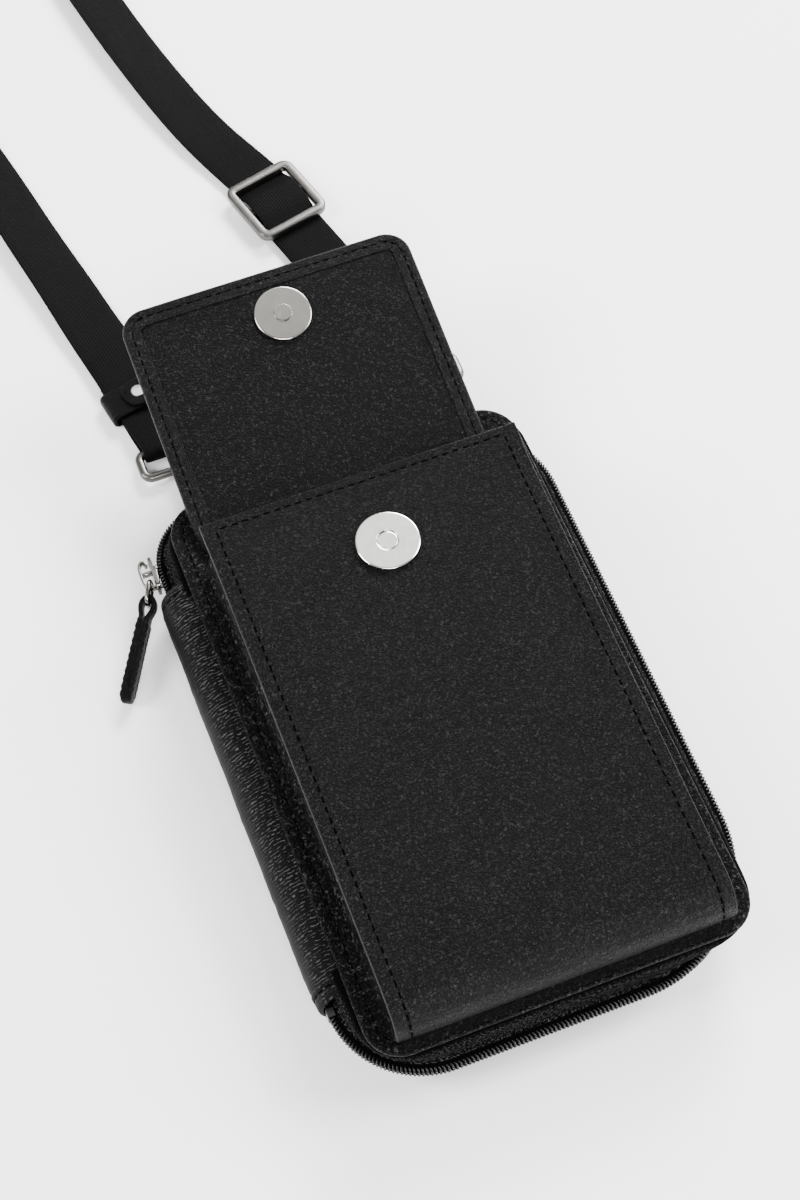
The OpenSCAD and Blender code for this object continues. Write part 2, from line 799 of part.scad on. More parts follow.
module strap_keeper() {
    inside_w = web_w / cos(left_turn) + 2 * soft_gap;
    low = low_layer_z - (web_t + layer_gap) / 2;
    high = high_layer_z + (web_t + layer_gap) / 2;
    lap_l = inside_w * 0.42;
    color("#232221") on_left_end(keeper_run) {
        difference() {
            translate([-inside_w / 2 - keeper_t, -keeper_l / 2, low - keeper_t])
                cube([inside_w + 2 * keeper_t, keeper_l, high - low + 2 * keeper_t]);
            translate([-inside_w / 2, -keeper_l, low]) cube([inside_w, 2 * keeper_l, high - low]);
            cylinder(d = rivet_d / 2 + sliver, h = body_t);
        }
        translate([0, 0, high + keeper_t]) difference() {
            union() {
                cylinder(d = keeper_l, h = keeper_t);
                translate([0, -keeper_l / 2, 0]) cube([lap_l, keeper_l, keeper_t]);
            }
            translate([0, 0, -overrun]) cylinder(d = rivet_d / 2 + sliver, h = body_t);
        }
    }
}

module keeper_rivet() {
    top = high_layer_z + (web_t + layer_gap) / 2 + 2 * keeper_t;
    color("#d8d8d6") on_left_end(keeper_run) {
        translate([0, 0, top - 2 * keeper_t]) cylinder(d = rivet_d / 2, h = 2 * keeper_t);
        translate([0, 0, top]) cylinder(d1 = rivet_d, d2 = rivet_d * 0.7, h = rivet_d * 0.16);
    }
}

// Right strap end and adjuster
module right_ring() {
    color("#bdbcba") translate([ring_right_x, ring_low_y, ring_z])
        wire_ring(ring_span, ring_l, ring_bend_r, ring_wire_r);
}

module strap_right_fold() {
    color("#161618") folded_end(ring_right_x, right_turn, right_fold_l, right_fold_l);
}

module adjuster_frame() {
    hole_w = adjuster_w - 2 * adjuster_bar_w;
    hole_l = adjuster_l - 2 * adjuster_bar_w;
    corner_r = adjuster_bar_w * 1.2;
    color("#bdbcba") at_adjuster() translate([0, 0, adjuster_low_z]) difference() {
        linear_extrude(adjuster_t) difference() {
            rounded_outline(adjuster_w, adjuster_l, corner_r);
            rounded_outline(hole_w, hole_l, corner_r * 0.3);
        }
        translate([0, 0, centre_bar_z - adjuster_low_z]) rotate([0, 90, 0])
            cylinder(d = centre_bar_d + sliver, h = adjuster_w - adjuster_bar_w, center = true);
    }
}

module adjuster_bar() {
    color("#bdbcba") at_adjuster() translate([0, 0, centre_bar_z]) rotate([0, 90, 0])
        cylinder(d = centre_bar_d, h = adjuster_w - adjuster_bar_w - sliver, center = true);
}

// Webbing through the adjuster: over the centre bar and under both end bars, with its sewn end below
module strap_at_adjuster() {
    half = adjuster_l / 2;
    peak = centre_bar_z + centre_bar_d / 2 + web_t / 2 + layer_gap;
    shares = [[-1, 0], [-0.72, 0], [-0.36, 0.8], [-0.12, 1], [0.12, 1], [0.36, 0.8], [0.72, 0], [1, 0]];
    over = [for (s = shares) [0, s[0] * half, over_z + s[1] * (peak - over_z)]];
    under = [for (s = [[-1, under_z], [-0.6, under_z], [-0.2, over_z], [0.15, over_z]])
        [0, s[0] * half, s[1]]];
    color("#161618") at_adjuster() {
        ribbon(over, [for (p = over) [1, 0, 0]]);
        ribbon(reversed(under), [for (p = under) [1, 0, 0]]);
    }
}

// The two layers between the right ring and the adjuster
module strap_double() {
    start = right_fold_l + soft_gap;
    end = adjuster_run * cos(right_turn) - adjuster_l / 2 * cos(right_turn) - soft_gap;
    color("#161618") for (z = [[low_layer_z, under_z], [high_layer_z, over_z]]) {
        points = [for (s = [0, 0.35, 0.7, 1])
            let(y = start + s * (end - start))
            [ring_right_x - y * tan(right_turn), ring_high_y + y, z[0] + min(1, s / 0.7) * (z[1] - z[0])]];
        ribbon(points, [for (p = points) across_web(right_turn)]);
    }
}

module strap_loop() {
    color("#161618") loop_ribbon();
}

back_cover();
back_board();
back_lining();
card_panel_tall();
card_panel_middle();
card_panel_short();
back_zip_tape();
back_zip_coil();
zip_bottom_stop();
spine();
left_strap_tab();
right_strap_tab();
front_cover();
front_board();
front_lining();
note_pocket_panel();
front_zip_tape();
front_zip_coil();
pocket_front();
pocket_lining();
left_gusset();
right_gusset();
socket_shell();
socket_magnet();
socket_washer();
flap_root();
flap_bridge();
flap_bridge_lining();
flap_lid();
flap_lid_lining();
stud_disc();
stud_washer();
zip_slider();
pull_link();
pull_tab();
left_ring();
strap_left_end();
strap_keeper();
keeper_rivet();
right_ring();
strap_right_fold();
adjuster_frame();
adjuster_bar();
strap_at_adjuster();
strap_double();
strap_loop();
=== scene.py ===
import math

import bmesh
import bpy
from mathutils import Matrix, Vector, noise


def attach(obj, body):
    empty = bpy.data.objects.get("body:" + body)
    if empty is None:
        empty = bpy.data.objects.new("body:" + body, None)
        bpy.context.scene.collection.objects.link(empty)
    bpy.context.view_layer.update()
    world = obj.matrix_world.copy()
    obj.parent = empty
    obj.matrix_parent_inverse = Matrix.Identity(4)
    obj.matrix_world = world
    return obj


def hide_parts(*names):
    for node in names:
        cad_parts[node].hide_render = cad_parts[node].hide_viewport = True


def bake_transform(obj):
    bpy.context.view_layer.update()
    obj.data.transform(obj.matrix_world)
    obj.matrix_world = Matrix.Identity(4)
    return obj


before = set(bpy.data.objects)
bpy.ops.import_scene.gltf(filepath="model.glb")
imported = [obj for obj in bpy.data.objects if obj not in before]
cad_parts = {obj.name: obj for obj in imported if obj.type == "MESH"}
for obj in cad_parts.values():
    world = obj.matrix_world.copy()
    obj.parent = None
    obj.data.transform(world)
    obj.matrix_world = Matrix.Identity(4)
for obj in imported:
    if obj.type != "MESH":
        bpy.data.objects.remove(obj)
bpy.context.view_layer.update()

# All shapes are worked out in millimetres and become metres in finished().
MM = 0.001
WALLET_W, WALLET_L, WALLET_T = 126, 200, 25
ZIP_R = 20
MID_Z = WALLET_T / 2
COVER_W, COVER_L, COVER_R, COVER_T = 112, 186, 12, 1.8
FRONT_Z = WALLET_T


# ---------------------------------------------------------------- camera, light and floor

def place_camera():
    turn, rise, roll = (math.radians(a) for a in (-17.7, 59.2, -3.6))
    back = Vector((math.sin(turn) * math.cos(rise), -math.cos(turn) * math.cos(rise), math.sin(rise)))
    side = (-back).cross(Vector((0, 0, 1))).normalized()
    top = side.cross(-back)
    right = side * math.cos(roll) + top * math.sin(roll)
    up = top * math.cos(roll) - side * math.sin(roll)
    data = bpy.data.cameras.new("camera")
    data.lens, data.sensor_width, data.sensor_fit = 67.7, 36, "AUTO"
    data.clip_start, data.clip_end = 0.02, 20
    camera = bpy.data.objects.new("camera", data)
    bpy.context.scene.collection.objects.link(camera)
    camera.matrix_world = Matrix.LocRotScale(
        Vector((-0.104006, -0.289460, 0.601444)), Matrix((right, up, back)).transposed().to_quaternion(), None)
    bpy.context.scene.camera = camera


def soft_light(name, place, aim, size, watts, tint=(1, 1, 1)):
    data = bpy.data.lights.new(name, "AREA")
    data.shape, data.size, data.size_y = "RECTANGLE", size[0], size[1]
    data.energy, data.color = watts, tint
    lamp = bpy.data.objects.new(name, data)
    bpy.context.scene.collection.objects.link(lamp)
    lamp.location = place
    lamp.rotation_euler = (Vector(aim) - Vector(place)).to_track_quat("-Z", "Y").to_euler()


def light_the_studio():
    world = bpy.data.worlds.new("pale_studio")
    bpy.context.scene.world = world
    world.use_nodes = True
    sky = world.node_tree.nodes["Background"]
    sky.inputs["Color"].default_value = (0.96, 0.98, 1.0, 1)
    sky.inputs["Strength"].default_value = 0.5
    soft_light("ceiling_panel", (0.3, 0.95, 1.9), (0, 0.05, 0), (1.8, 1.2), 9)
    soft_light("back_softbox", (0.75, 1.0, 1.0), (0, 0.08, 0), (0.7, 0.5), 60)
    soft_light("right_softbox", (1.2, -0.1, 1.0), (0, 0.05, 0), (0.8, 0.8), 44)
    soft_light("left_softbox", (-1.2, 0.2, 1.1), (0, 0.05, 0), (0.7, 0.7), 34)
    soft_light("front_softbox", (-0.3, -1.2, 1.3), (0, 0.05, 0), (0.9, 0.5), 40)


# ---------------------------------------------------------------- finishes

class Finish:
    """A surface finish. Its patterns read millimetres, from the piece's own lay or from where it stands."""

    def __init__(self, name, colour, roughness, laid=True, **shader):
        self.material = bpy.data.materials.new(name)
        self.material.use_nodes = True
        self.material.diffuse_color = (*colour, 1)
        self.tree = self.material.node_tree
        self.shader = self.tree.nodes["Principled BSDF"]
        self.set("Base Color", (*colour, 1))
        self.set("Roughness", roughness)
        for key, value in shader.items():
            self.set(key.replace("_", " "), value)
        if laid:
            self.spot = self.put("Attribute", attribute_name="lay").outputs["Vector"]
        else:
            spot = self.put("TexCoord").outputs["Object"]
            self.spot = self.put("VectorMath", spot, operation="SCALE", Scale=1000.0).outputs[0]

    def put(self, kind, *values, **settings):
        names = {"TexCoord": "TexCoord", "Noise": "TexNoise", "Cells": "TexVoronoi", "Wave": "TexWave"}
        node = self.tree.nodes.new("ShaderNode" + names.get(kind, kind))
        for key, value in settings.items():
            if hasattr(node, key):
                setattr(node, key, value)
            else:
                self.feed(node.inputs[key.replace("_", " ")], value)
        for socket, value in zip(node.inputs, values):
            if value is not None:
                self.feed(socket, value)
        return node

    def feed(self, socket, value):
        if isinstance(value, bpy.types.NodeSocket):
            self.tree.links.new(value, socket)
        else:
            socket.default_value = value

    def set(self, socket, value):
        self.feed(self.shader.inputs[socket], value)

    def noise(self, scale, detail=3, rough=0.55, spot=None, **more):
        return self.put("Noise", spot or self.spot, Scale=scale, Detail=detail, Roughness=rough, **more).outputs[0]

    def cells(self, scale, spot=None, feature="DISTANCE_TO_EDGE", **more):
        return self.put("Cells", feature=feature, Vector=spot or self.spot, Scale=scale, **more).outputs["Distance"]

    def math(self, operation, *values):
        return self.put("Math", *values, operation=operation).outputs[0]

    def range(self, value, low, high, to_low, to_high, kind="LINEAR"):
        return self.put("MapRange", value, low, high, to_low, to_high, interpolation_type=kind).outputs[0]

    def stretched(self, scale, spot=None):
        return self.put("VectorMath", spot or self.spot, scale, operation="MULTIPLY").outputs[0]

    def shaken(self, amount, scale, spot=None):
        """The coordinates with a little wander, so that a pattern isn't regular."""
        wander = self.put("Noise", spot or self.spot, Scale=scale, Detail=2.0).outputs["Color"]
        wander = self.put("VectorMath", wander, (0.5, 0.5, 0.5), operation="SUBTRACT").outputs[0]
        wander = self.put("VectorMath", wander, operation="SCALE", Scale=amount).outputs[0]
        return self.put("VectorMath", spot or self.spot, wander, operation="ADD").outputs[0]

    def colours(self, value, low, high, at=(0.0, 1.0), top=None):
        """A colour between low and high. top is a third, brighter colour, reached where the value is 1."""
        ramp = self.put("ValToRGB", value)
        ramp.color_ramp.elements[0].position, ramp.color_ramp.elements[1].position = at
        ramp.color_ramp.elements[0].color = (*low, 1)
        ramp.color_ramp.elements[1].color = (*high, 1)
        if top:
            ramp.color_ramp.elements.new(1.0).color = (*top, 1)
        return ramp.outputs[0]

    def bumps(self, *layers):
        """Bumps laid over each other: each is a height, a strength and a depth in millimetres."""
        normal = None
        for height, strength, depth in layers:
            bump = self.put("Bump", Strength=strength, Distance=depth * MM, Height=height)
            if normal:
                self.feed(bump.inputs["Normal"], normal)
            normal = bump.outputs[0]
        self.set("Normal", normal)
        return self


def leather(name, dark, light, pebble=1.15, stretch=(1, 1, 1), depth=0.3, gloss=0.42, laid=True, creases=0.0,
            ridge_highlight=0.03, shine=0.08):
    """Pebbled leather: rounded cells, short curled ridges and pores; painted shade darkens the valleys between the
    cells and a painted highlight lightens the ridge tops.
    """
    f = Finish(name, light, gloss, laid, Specular_IOR_Level=shine)
    spot = f.shaken(0.5 * pebble, 0.9 / pebble, f.stretched(stretch))
    valleys = f.range(f.cells(1 / pebble, spot), 0.0, 0.2, 0.0, 1.0, "SMOOTHSTEP")
    small = f.range(f.cells(2.1 / pebble, spot), 0.0, 0.16, 0.0, 1.0, "SMOOTHSTEP")
    grain = f.math("MULTIPLY_ADD", small, 0.4, valleys)
    curl = f.math("ABSOLUTE", f.math("SUBTRACT", f.noise(1.0 / pebble, 2, 0.5, spot), 0.5))
    broken = f.range(f.noise(0.85 / pebble, 2, 0.5), 0.4, 0.6, 0.0, 1.0, "SMOOTHSTEP")
    tops = f.math("MULTIPLY", f.range(curl, 0.0, 0.06, 1.0, 0.0, "SMOOTHSTEP"), broken)
    pores = f.noise(2.6 / pebble, 4, 0.65, f.stretched(stretch))
    wash = f.noise(0.05, 3)
    height = f.math("MULTIPLY_ADD", tops, 0.8, f.math("MULTIPLY_ADD", pores, 0.6, grain))
    # painted shade: the valleys between the cells are darker in colour
    tone = f.math("MULTIPLY_ADD", wash, 0.16, f.math("MULTIPLY", grain, 0.26))
    # painted highlight: the curled ridge tops rise to the brightest, third colour
    f.set("Base Color", f.colours(f.math("MULTIPLY_ADD", tops, 0.6, tone), dark, light, (0.12, 0.48), (ridge_highlight,) * 3))
    f.set("Roughness", f.range(f.math("MULTIPLY_ADD", wash, 0.4, height), 0.2, 2.2, gloss + 0.14, gloss - 0.08))
    layers = [(height, 1.0, depth)]
    if creases:
        folds = f.noise(0.5, 4, 0.65, f.stretched((0.22, 1.3, 1), f.shaken(3.0, 0.12)))
        layers.append((f.range(folds, 0.3, 0.7, 0.0, 1.0, "SMOOTHSTEP"), 1.0, creases))
    return f.bumps(*layers)


def wrinkled_leather(name, dark, light, ridge_highlight):
    """Spine leather: short crisp wrinkles run across it, and it is stretched smooth along its outermost part. The
    wrinkle tops carry a painted highlight.
    """
    f = Finish(name, light, 0.5, Specular_IOR_Level=0.06)
    middle = spine_path().length / 2
    beside = f.math("ABSOLUTE", f.math("SUBTRACT", f.put("SeparateXYZ", f.spot).outputs[0], middle))
    rough = f.range(beside, 4.0, 7.5, 0.0, 1.0, "SMOOTHSTEP")
    spot = f.stretched((0.55, 1.0, 1))
    folds = f.put("Wave", spot, bands_direction="Y", Scale=0.29, Distortion=5.0, Detail=2.0, Detail_Scale=2.8).outputs[1]
    tops = f.range(folds, 0.5, 0.95, 0.0, 1.0, "SMOOTHSTEP")
    broken = f.range(f.noise(1.3, 2, 0.5, spot), 0.36, 0.58, 0.15, 1.0, "SMOOTHSTEP")
    pores = f.noise(2.4, 4, 0.65)
    grain = f.math("MULTIPLY_ADD", f.math("MULTIPLY", tops, broken), 0.7, f.math("MULTIPLY", pores, 0.3))
    tone = f.math("MULTIPLY_ADD", f.math("SUBTRACT", grain, 0.3), rough, 0.3)
    # painted highlight: the wrinkle tops rise to the brightest, third colour, and the gaps between them stay darker as
    # painted shade
    f.set("Base Color", f.colours(tone, dark, light, (0.12, 0.5), (ridge_highlight,) * 3))
    return f.bumps((f.math("MULTIPLY", f.math("MULTIPLY_ADD", pores, 0.5, tops), rough), 1.0, 0.5))


def cut_edge(name, laid=True):
    f = Finish(name, (0.035, 0.033, 0.031), 0.55, laid)
    fibres = f.noise(1.6, 5, 0.7, f.stretched((1, 1, 4)))
    f.set("Base Color", f.colours(fibres, (0.02, 0.019, 0.018), (0.07, 0.066, 0.062), (0.3, 0.75)))
    return f.bumps((fibres, 0.8, 0.12))


def metal(name, colour, roughness, scratch=0.05, laid=False, depth=0.01):
    f = Finish(name, colour, roughness, laid, Metallic=1.0)
    haze = f.noise(0.35, 5, 0.6)
    lines = f.noise(1.5, 3, 0.5, f.stretched((1, 0.12, 1)))
    f.set("Roughness", f.range(f.math("ADD", haze, lines), 0.6, 1.4, roughness - scratch, roughness + scratch))
    f.set("Base Color", f.colours(haze, tuple(c * 0.93 for c in colour), colour, (0.3, 0.7)))
    return f.bumps((lines, 0.5, depth))


def ribbed_webbing(name):
    """Flat webbing: straight ribs along it, with the weft crossing between."""
    f = Finish(name, (0.0016, 0.0016, 0.0017), 0.75, Specular_IOR_Level=0.045)
    parts = f.put("SeparateXYZ", f.spot)
    along, across = parts.outputs[0], parts.outputs[1]
    ribs = f.math("ABSOLUTE", f.math("SINE", f.math("MULTIPLY", across, math.pi / 0.95)))
    row = f.math("FLOOR", f.math("DIVIDE", across, 0.95))
    weft = f.math("SINE", f.math("MULTIPLY_ADD", along, 2 * math.pi / 0.72, f.math("MULTIPLY", row, math.pi)))
    fuzz = f.noise(5.0, 3)
    height = f.math("MULTIPLY_ADD", weft, 0.22, f.math("MULTIPLY_ADD", fuzz, 0.2, ribs))
    wash = f.noise(0.09, 2)
    f.set("Base Color", f.colours(f.math("MULTIPLY_ADD", wash, 0.4, f.math("MULTIPLY", height, 0.5)),
                                  (0.0005, 0.0005, 0.0005), (0.0018, 0.0018, 0.0019), (0.1, 0.9)))
    f.set("Roughness", f.range(fuzz, 0.3, 0.7, 0.6, 0.75))
    return f.bumps((height, 1.0, 0.13))


def woven_tape(name):
    """Herringbone zip tape: slanted threads that turn back at each rib, and a plain black strip beside the coil."""
    f = Finish(name, (0.004, 0.004, 0.0042), 0.95, Specular_IOR_Level=0.03)
    parts = f.put("SeparateXYZ", f.spot)
    along, across = parts.outputs[0], parts.outputs[1]
    fold = f.math("PINGPONG", across, 1.9)
    threads = f.math("SINE", f.math("MULTIPLY", f.math("ADD", along, fold), 2 * math.pi / 1.7))
    specks = f.range(f.noise(1.5, 2, 0.5), 0.4, 0.62, -1.0, 1.0)
    woven = f.math("MULTIPLY_ADD", threads, 0.35, specks)
    edge = tape_wall().marks[TAPE_EDGE]
    band = f.range(across, edge - 0.1, edge + 0.1, 1.0, 0.0)
    shoulder = f.range(across, 5.6, 7.2, 0.0, 1.0)
    light = f.math("MULTIPLY", f.math("MULTIPLY", f.range(woven, 0.0, 0.9, 0.0, 1.0, "SMOOTHSTEP"), band), shoulder)
    f.set("Base Color", f.colours(light, (0.0004, 0.0004, 0.00045), (0.034, 0.034, 0.036)))
    return f.bumps((f.math("MULTIPLY", woven, band), 1.0, 0.2))


def lining_cloth(name, laid=True):
    f = Finish(name, (0.006, 0.006, 0.0065), 0.85, laid, Sheen_Weight=0.03, Specular_IOR_Level=0.1)
    parts = f.put("SeparateXYZ", f.spot)
    twill = f.math("SINE", f.math("MULTIPLY", f.math("ADD", parts.outputs[0], parts.outputs[1]), 2 * math.pi / 0.7))
    fuzz = f.noise(2.5, 4)
    height = f.math("MULTIPLY_ADD", fuzz, 0.6, twill)
    f.set("Base Color", f.colours(f.range(height, -1.0, 1.5, 0.0, 1.0), (0.003, 0.003, 0.0033), (0.011, 0.011, 0.0118)))
    return f.bumps((height, 0.6, 0.07))


def plain_grain(name, dark, light, roughness, scale, depth, laid=True, **shader):
    f = Finish(name, light, roughness, laid, **shader)
    grain = f.noise(scale, 5, 0.65)
    f.set("Base Color", f.colours(grain, dark, light, (0.3, 0.7)))
    f.set("Roughness", f.range(grain, 0.3, 0.7, roughness + 0.06, roughness - 0.06))
    return f.bumps((grain, 0.7, depth))


def make_finishes():
    near_black, soft_black = (0.0003, 0.0003, 0.00033), (0.0032, 0.0032, 0.0032)
    makers = {
        "cover_leather": leather("cover_leather", near_black, soft_black),
        # The margin leather is a lighter copy of the cover leather with brighter ridge tops: painted light for the
        # front cover's margins, which lie in shade.
        "margin_leather": leather("margin_leather", near_black, (0.0048, 0.0048, 0.0048), pebble=1.4, depth=0.35, ridge_highlight=0.055,
                                  shine=0.06),
        "pocket_leather": leather("pocket_leather", near_black, (0.0056, 0.0056, 0.0056), pebble=1.1, depth=0.36, gloss=0.38),
        "spine_leather": wrinkled_leather("spine_leather", near_black, (0.0026, 0.0026, 0.0027), 0.075),
        "flap_leather": leather("flap_leather", near_black, soft_black, pebble=1.1, depth=0.4, gloss=0.38, ridge_highlight=0.034),
        "turned_leather": leather("turned_leather", near_black, (0.0026, 0.0026, 0.0027), pebble=1.0, depth=0.2, gloss=0.42),
        # The gusset leather's much brighter ridge tops are a painted highlight for the gussets, which lie in shade.
        "gusset_leather": leather("gusset_leather", near_black, (0.003, 0.003, 0.0031), pebble=1.8, depth=0.5, gloss=0.32,
                                  ridge_highlight=0.11, shine=0.12),
        "foot_leather": leather("foot_leather", near_black, (0.0016, 0.0016, 0.0016), pebble=0.9, depth=0.3, ridge_highlight=0.03),
        "small_leather": leather("small_leather", near_black, (0.0018, 0.0018, 0.0019), pebble=0.8, depth=0.12, gloss=0.38,
                                 ridge_highlight=0.006, shine=0.06),
        # Edge finish, lighter than the leather: partly the edges' own paint, partly a painted highlight along the rim.
        "edge_paint_and_highlight": plain_grain("edge_paint_and_highlight", (0.004, 0.004, 0.004), (0.012, 0.012, 0.0116), 0.5, 2.5, 0.04,
                                  Specular_IOR_Level=0.14),
        "card_leather": leather("card_leather", near_black, (0.006, 0.006, 0.006), pebble=0.9, depth=0.08, gloss=0.55),
        "cut_edge": cut_edge("cut_edge"),
        "lining_cloth": lining_cloth("lining_cloth"),
        "webbing": ribbed_webbing("webbing"),
        "zip_tape": woven_tape("zip_tape"),
        "zip_coil": plain_grain("zip_coil", (0.003, 0.003, 0.003), (0.008, 0.008, 0.0084), 0.24, 1.2, 0.01,
                                Specular_IOR_Level=0.26),
        "zip_cord": plain_grain("zip_cord", (0.0002, 0.0002, 0.0002), (0.0006, 0.0006, 0.0006), 0.95, 1.2, 0.01,
                                Specular_IOR_Level=0.02),
        "thread": plain_grain("thread", (0.0001, 0.0001, 0.0001), (0.0005, 0.0005, 0.0005), 0.9, 3.0, 0.03,
                              Specular_IOR_Level=0.02),
        "board": plain_grain("board", (0.20, 0.16, 0.11), (0.30, 0.24, 0.17), 0.85, 0.8, 0.05, laid=False),
        "polished_nickel": metal("polished_nickel", (0.86, 0.84, 0.81), 0.17),
        # slider_nickel, stud_nickel and satin_nickel are nickel painted darker than the polished nickel: painted shade
        # standing in for the darker reflections these parts show.
        "slider_nickel": metal("slider_nickel", (0.19, 0.182, 0.168), 0.2),
        "stud_nickel": metal("stud_nickel", (0.36, 0.343, 0.318), 0.22),
        "satin_nickel": metal("satin_nickel", (0.11, 0.106, 0.1), 0.34, depth=0.02),
        "steel_washer": metal("steel_washer", (0.50, 0.50, 0.50), 0.4),
        "zip_stop": plain_grain("zip_stop", (0.003, 0.003, 0.003), (0.006, 0.006, 0.006), 0.35, 1.0, 0.01, laid=False),
        "magnet": plain_grain("magnet", (0.05, 0.05, 0.052), (0.09, 0.09, 0.092), 0.5, 2.0, 0.03, laid=False),
    }
    return {name: made.material for name, made in makers.items()}


# ---------------------------------------------------------------- shaping helpers

def finished(name, bm, body, *finishes, slot=None, stands_for=(), blend=None, sharp=38, turn_out=True):
    """Makes the piece from a bmesh in millimetres, with its finishes, and puts it on its body."""
    if turn_out:
        bmesh.ops.recalc_face_normals(bm, faces=bm.faces[:])
        if bm.calc_volume(signed=True) < 0:
            bmesh.ops.reverse_faces(bm, faces=bm.faces[:])
    lay = bm.verts.layers.float_vector.get("lay")
    if lay is None:
        lay = bm.verts.layers.float_vector.new("lay")
        for v in bm.verts:
            v[lay] = v.co
    bmesh.ops.scale(bm, vec=(MM, MM, MM), verts=bm.verts[:])
    mesh = bpy.data.meshes.new(name)
    bm.to_mesh(mesh)
    bm.free()
    for finish in finishes:
        mesh.materials.append(FINISH[finish])
    mesh.shade_smooth()
    mesh.set_sharp_from_angle(angle=math.radians(sharp))
    piece = bpy.data.objects.new(name, mesh)
    bpy.context.scene.collection.objects.link(piece)
    if stands_for:
        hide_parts(*stands_for)
    if blend:
        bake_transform(piece)
    else:
        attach(piece, body)
    return piece


def lines(low, high, near_low, near_high, step):
    """Grid lines from low to high, at the given distances from both edges and step apart between."""
    start, end = [low + d for d in near_low], [high - d for d in near_high]
    count = max(1, round((end[-1] - start[-1]) / step))
    middle = [start[-1] + (end[-1] - start[-1]) * k / count for k in range(1, count)]
    return start + middle + end[::-1]


def panel(xs, ys, place):
    """A sheet with a top and an under side, from a grid. place(x, y, side) puts each point; side is 0 below, 1 on top."""
    bm = bmesh.new()
    across, up = len(xs) - 1, len(ys) - 1
    bmesh.ops.create_grid(bm, x_segments=across, y_segments=up, size=0.5)
    side = bm.verts.layers.int.new("side")
    raised = bmesh.ops.extrude_face_region(bm, geom=bm.faces[:])["geom"]
    for v in raised:
        if isinstance(v, bmesh.types.BMVert):
            v[side] = 1
    lay = bm.verts.layers.float_vector.new("lay")
    for v in bm.verts:
        x, y = xs[round((v.co.x + 0.5) * across)], ys[round((v.co.y + 0.5) * up)]
        v[lay] = (x, y, v[side] * 1.5)
        v.co = place(x, y, v[side])
    return bm


def paint_edges(bm, on_edge):
    """Gives the second finish to the faces whose lay is all on the edge."""
    lay = bm.verts.layers.float_vector["lay"]
    for face in bm.faces:
        if all(on_edge(v[lay]) for v in face.verts):
            face.material_index = 1


def carried(profile, stations, closed=False):
    """Carries a profile along stations of (point, across, up). Its lay is the length along and the way across."""
    bm = bmesh.new()
    number = bm.verts.layers.int.new("number")
    lay = bm.verts.layers.float_vector.new("lay")
    ring = [bm.verts.new((a, b, 0)) for a, b in profile]
    for k, v in enumerate(ring):
        v[number] = k
    edges = [bm.edges.new((ring[k], ring[(k + 1) % len(ring)])) for k in range(len(ring))]
    turns, total = [0.0], 0.0
    for (a, b), (c, d) in zip(profile, profile[1:]):
        total += math.hypot(c - a, d - b)
        turns.append(total)
    walked = 0.0
    for i, (point, across, up) in enumerate(stations):
        if i:
            walked += (Vector(point) - Vector(stations[i - 1][0])).length
            grown = bmesh.ops.extrude_edge_only(bm, edges=edges)["geom"]
            ring = [g for g in grown if isinstance(g, bmesh.types.BMVert)]
            made = set(ring)
            edges = [g for g in grown if isinstance(g, bmesh.types.BMEdge) and set(g.verts) <= made]
        for v in ring:
            a, b = profile[v[number]]
            v.co = Vector(point) + Vector(across) * a + Vector(up) * b
            v[lay] = (walked, turns[v[number]], 0)
    if closed:
        bmesh.ops.remove_doubles(bm, verts=bm.verts[:], dist=1e-4)
    else:
        bmesh.ops.holes_fill(bm, edges=[e for e in bm.edges if e.is_boundary], sides=0)
    return bm


def turned_on_lathe(profile, steps=72):
    """A round piece: the profile's points are radius and height."""
    bm = bmesh.new()
    points = [bm.verts.new((r, 0, z)) for r, z in profile]
    edges = [bm.edges.new(pair) for pair in zip(points, points[1:])]
    bmesh.ops.spin(bm, geom=points + edges, cent=(0, 0, 0), axis=(0, 0, 1), angle=2 * math.pi, steps=steps,
                   use_merge=True)
    bmesh.ops.remove_doubles(bm, verts=bm.verts[:], dist=1e-5)
    return bm


def rounded_plate(w, l, r, low, high, top=(), under=(), segments=10):
    """A flat plate with round corners. top and under are insets with their rise, from the edge inwards.

    r may give each corner its own radius: foot left, foot right, top right, top left."""
    radii = r if isinstance(r, tuple) else (r,) * 4
    bm = bmesh.new()
    bmesh.ops.create_grid(bm, x_segments=1, y_segments=1, size=0.5)
    bmesh.ops.scale(bm, vec=(w, l, 1), verts=bm.verts[:])
    bmesh.ops.translate(bm, vec=(0, 0, low), verts=bm.verts[:])
    corners = [min(bm.verts, key=lambda v: (v.co.x * sx < 0) + (v.co.y * sy < 0))
               for sx, sy in ((-1, -1), (1, -1), (1, 1), (-1, 1))]
    for corner, radius in zip(corners, radii):
        bmesh.ops.bevel(bm, geom=[corner], offset=radius, offset_type="OFFSET", affect="VERTICES", segments=segments,
                        profile=0.5, material=-1)
    raised = bmesh.ops.extrude_face_region(bm, geom=bm.faces[:])["geom"]
    bmesh.ops.translate(bm, vec=(0, 0, high - low), verts=[g for g in raised if isinstance(g, bmesh.types.BMVert)])
    bmesh.ops.recalc_face_normals(bm, faces=bm.faces[:])
    flat = [f for f in bm.faces if len(f.verts) > 4]
    for face in flat:
        steps = top if face.normal.z > 0 else under
        for inset, rise in steps:
            bmesh.ops.inset_individual(bm, faces=[face], thickness=inset, depth=rise, use_even_offset=True)
    return bm


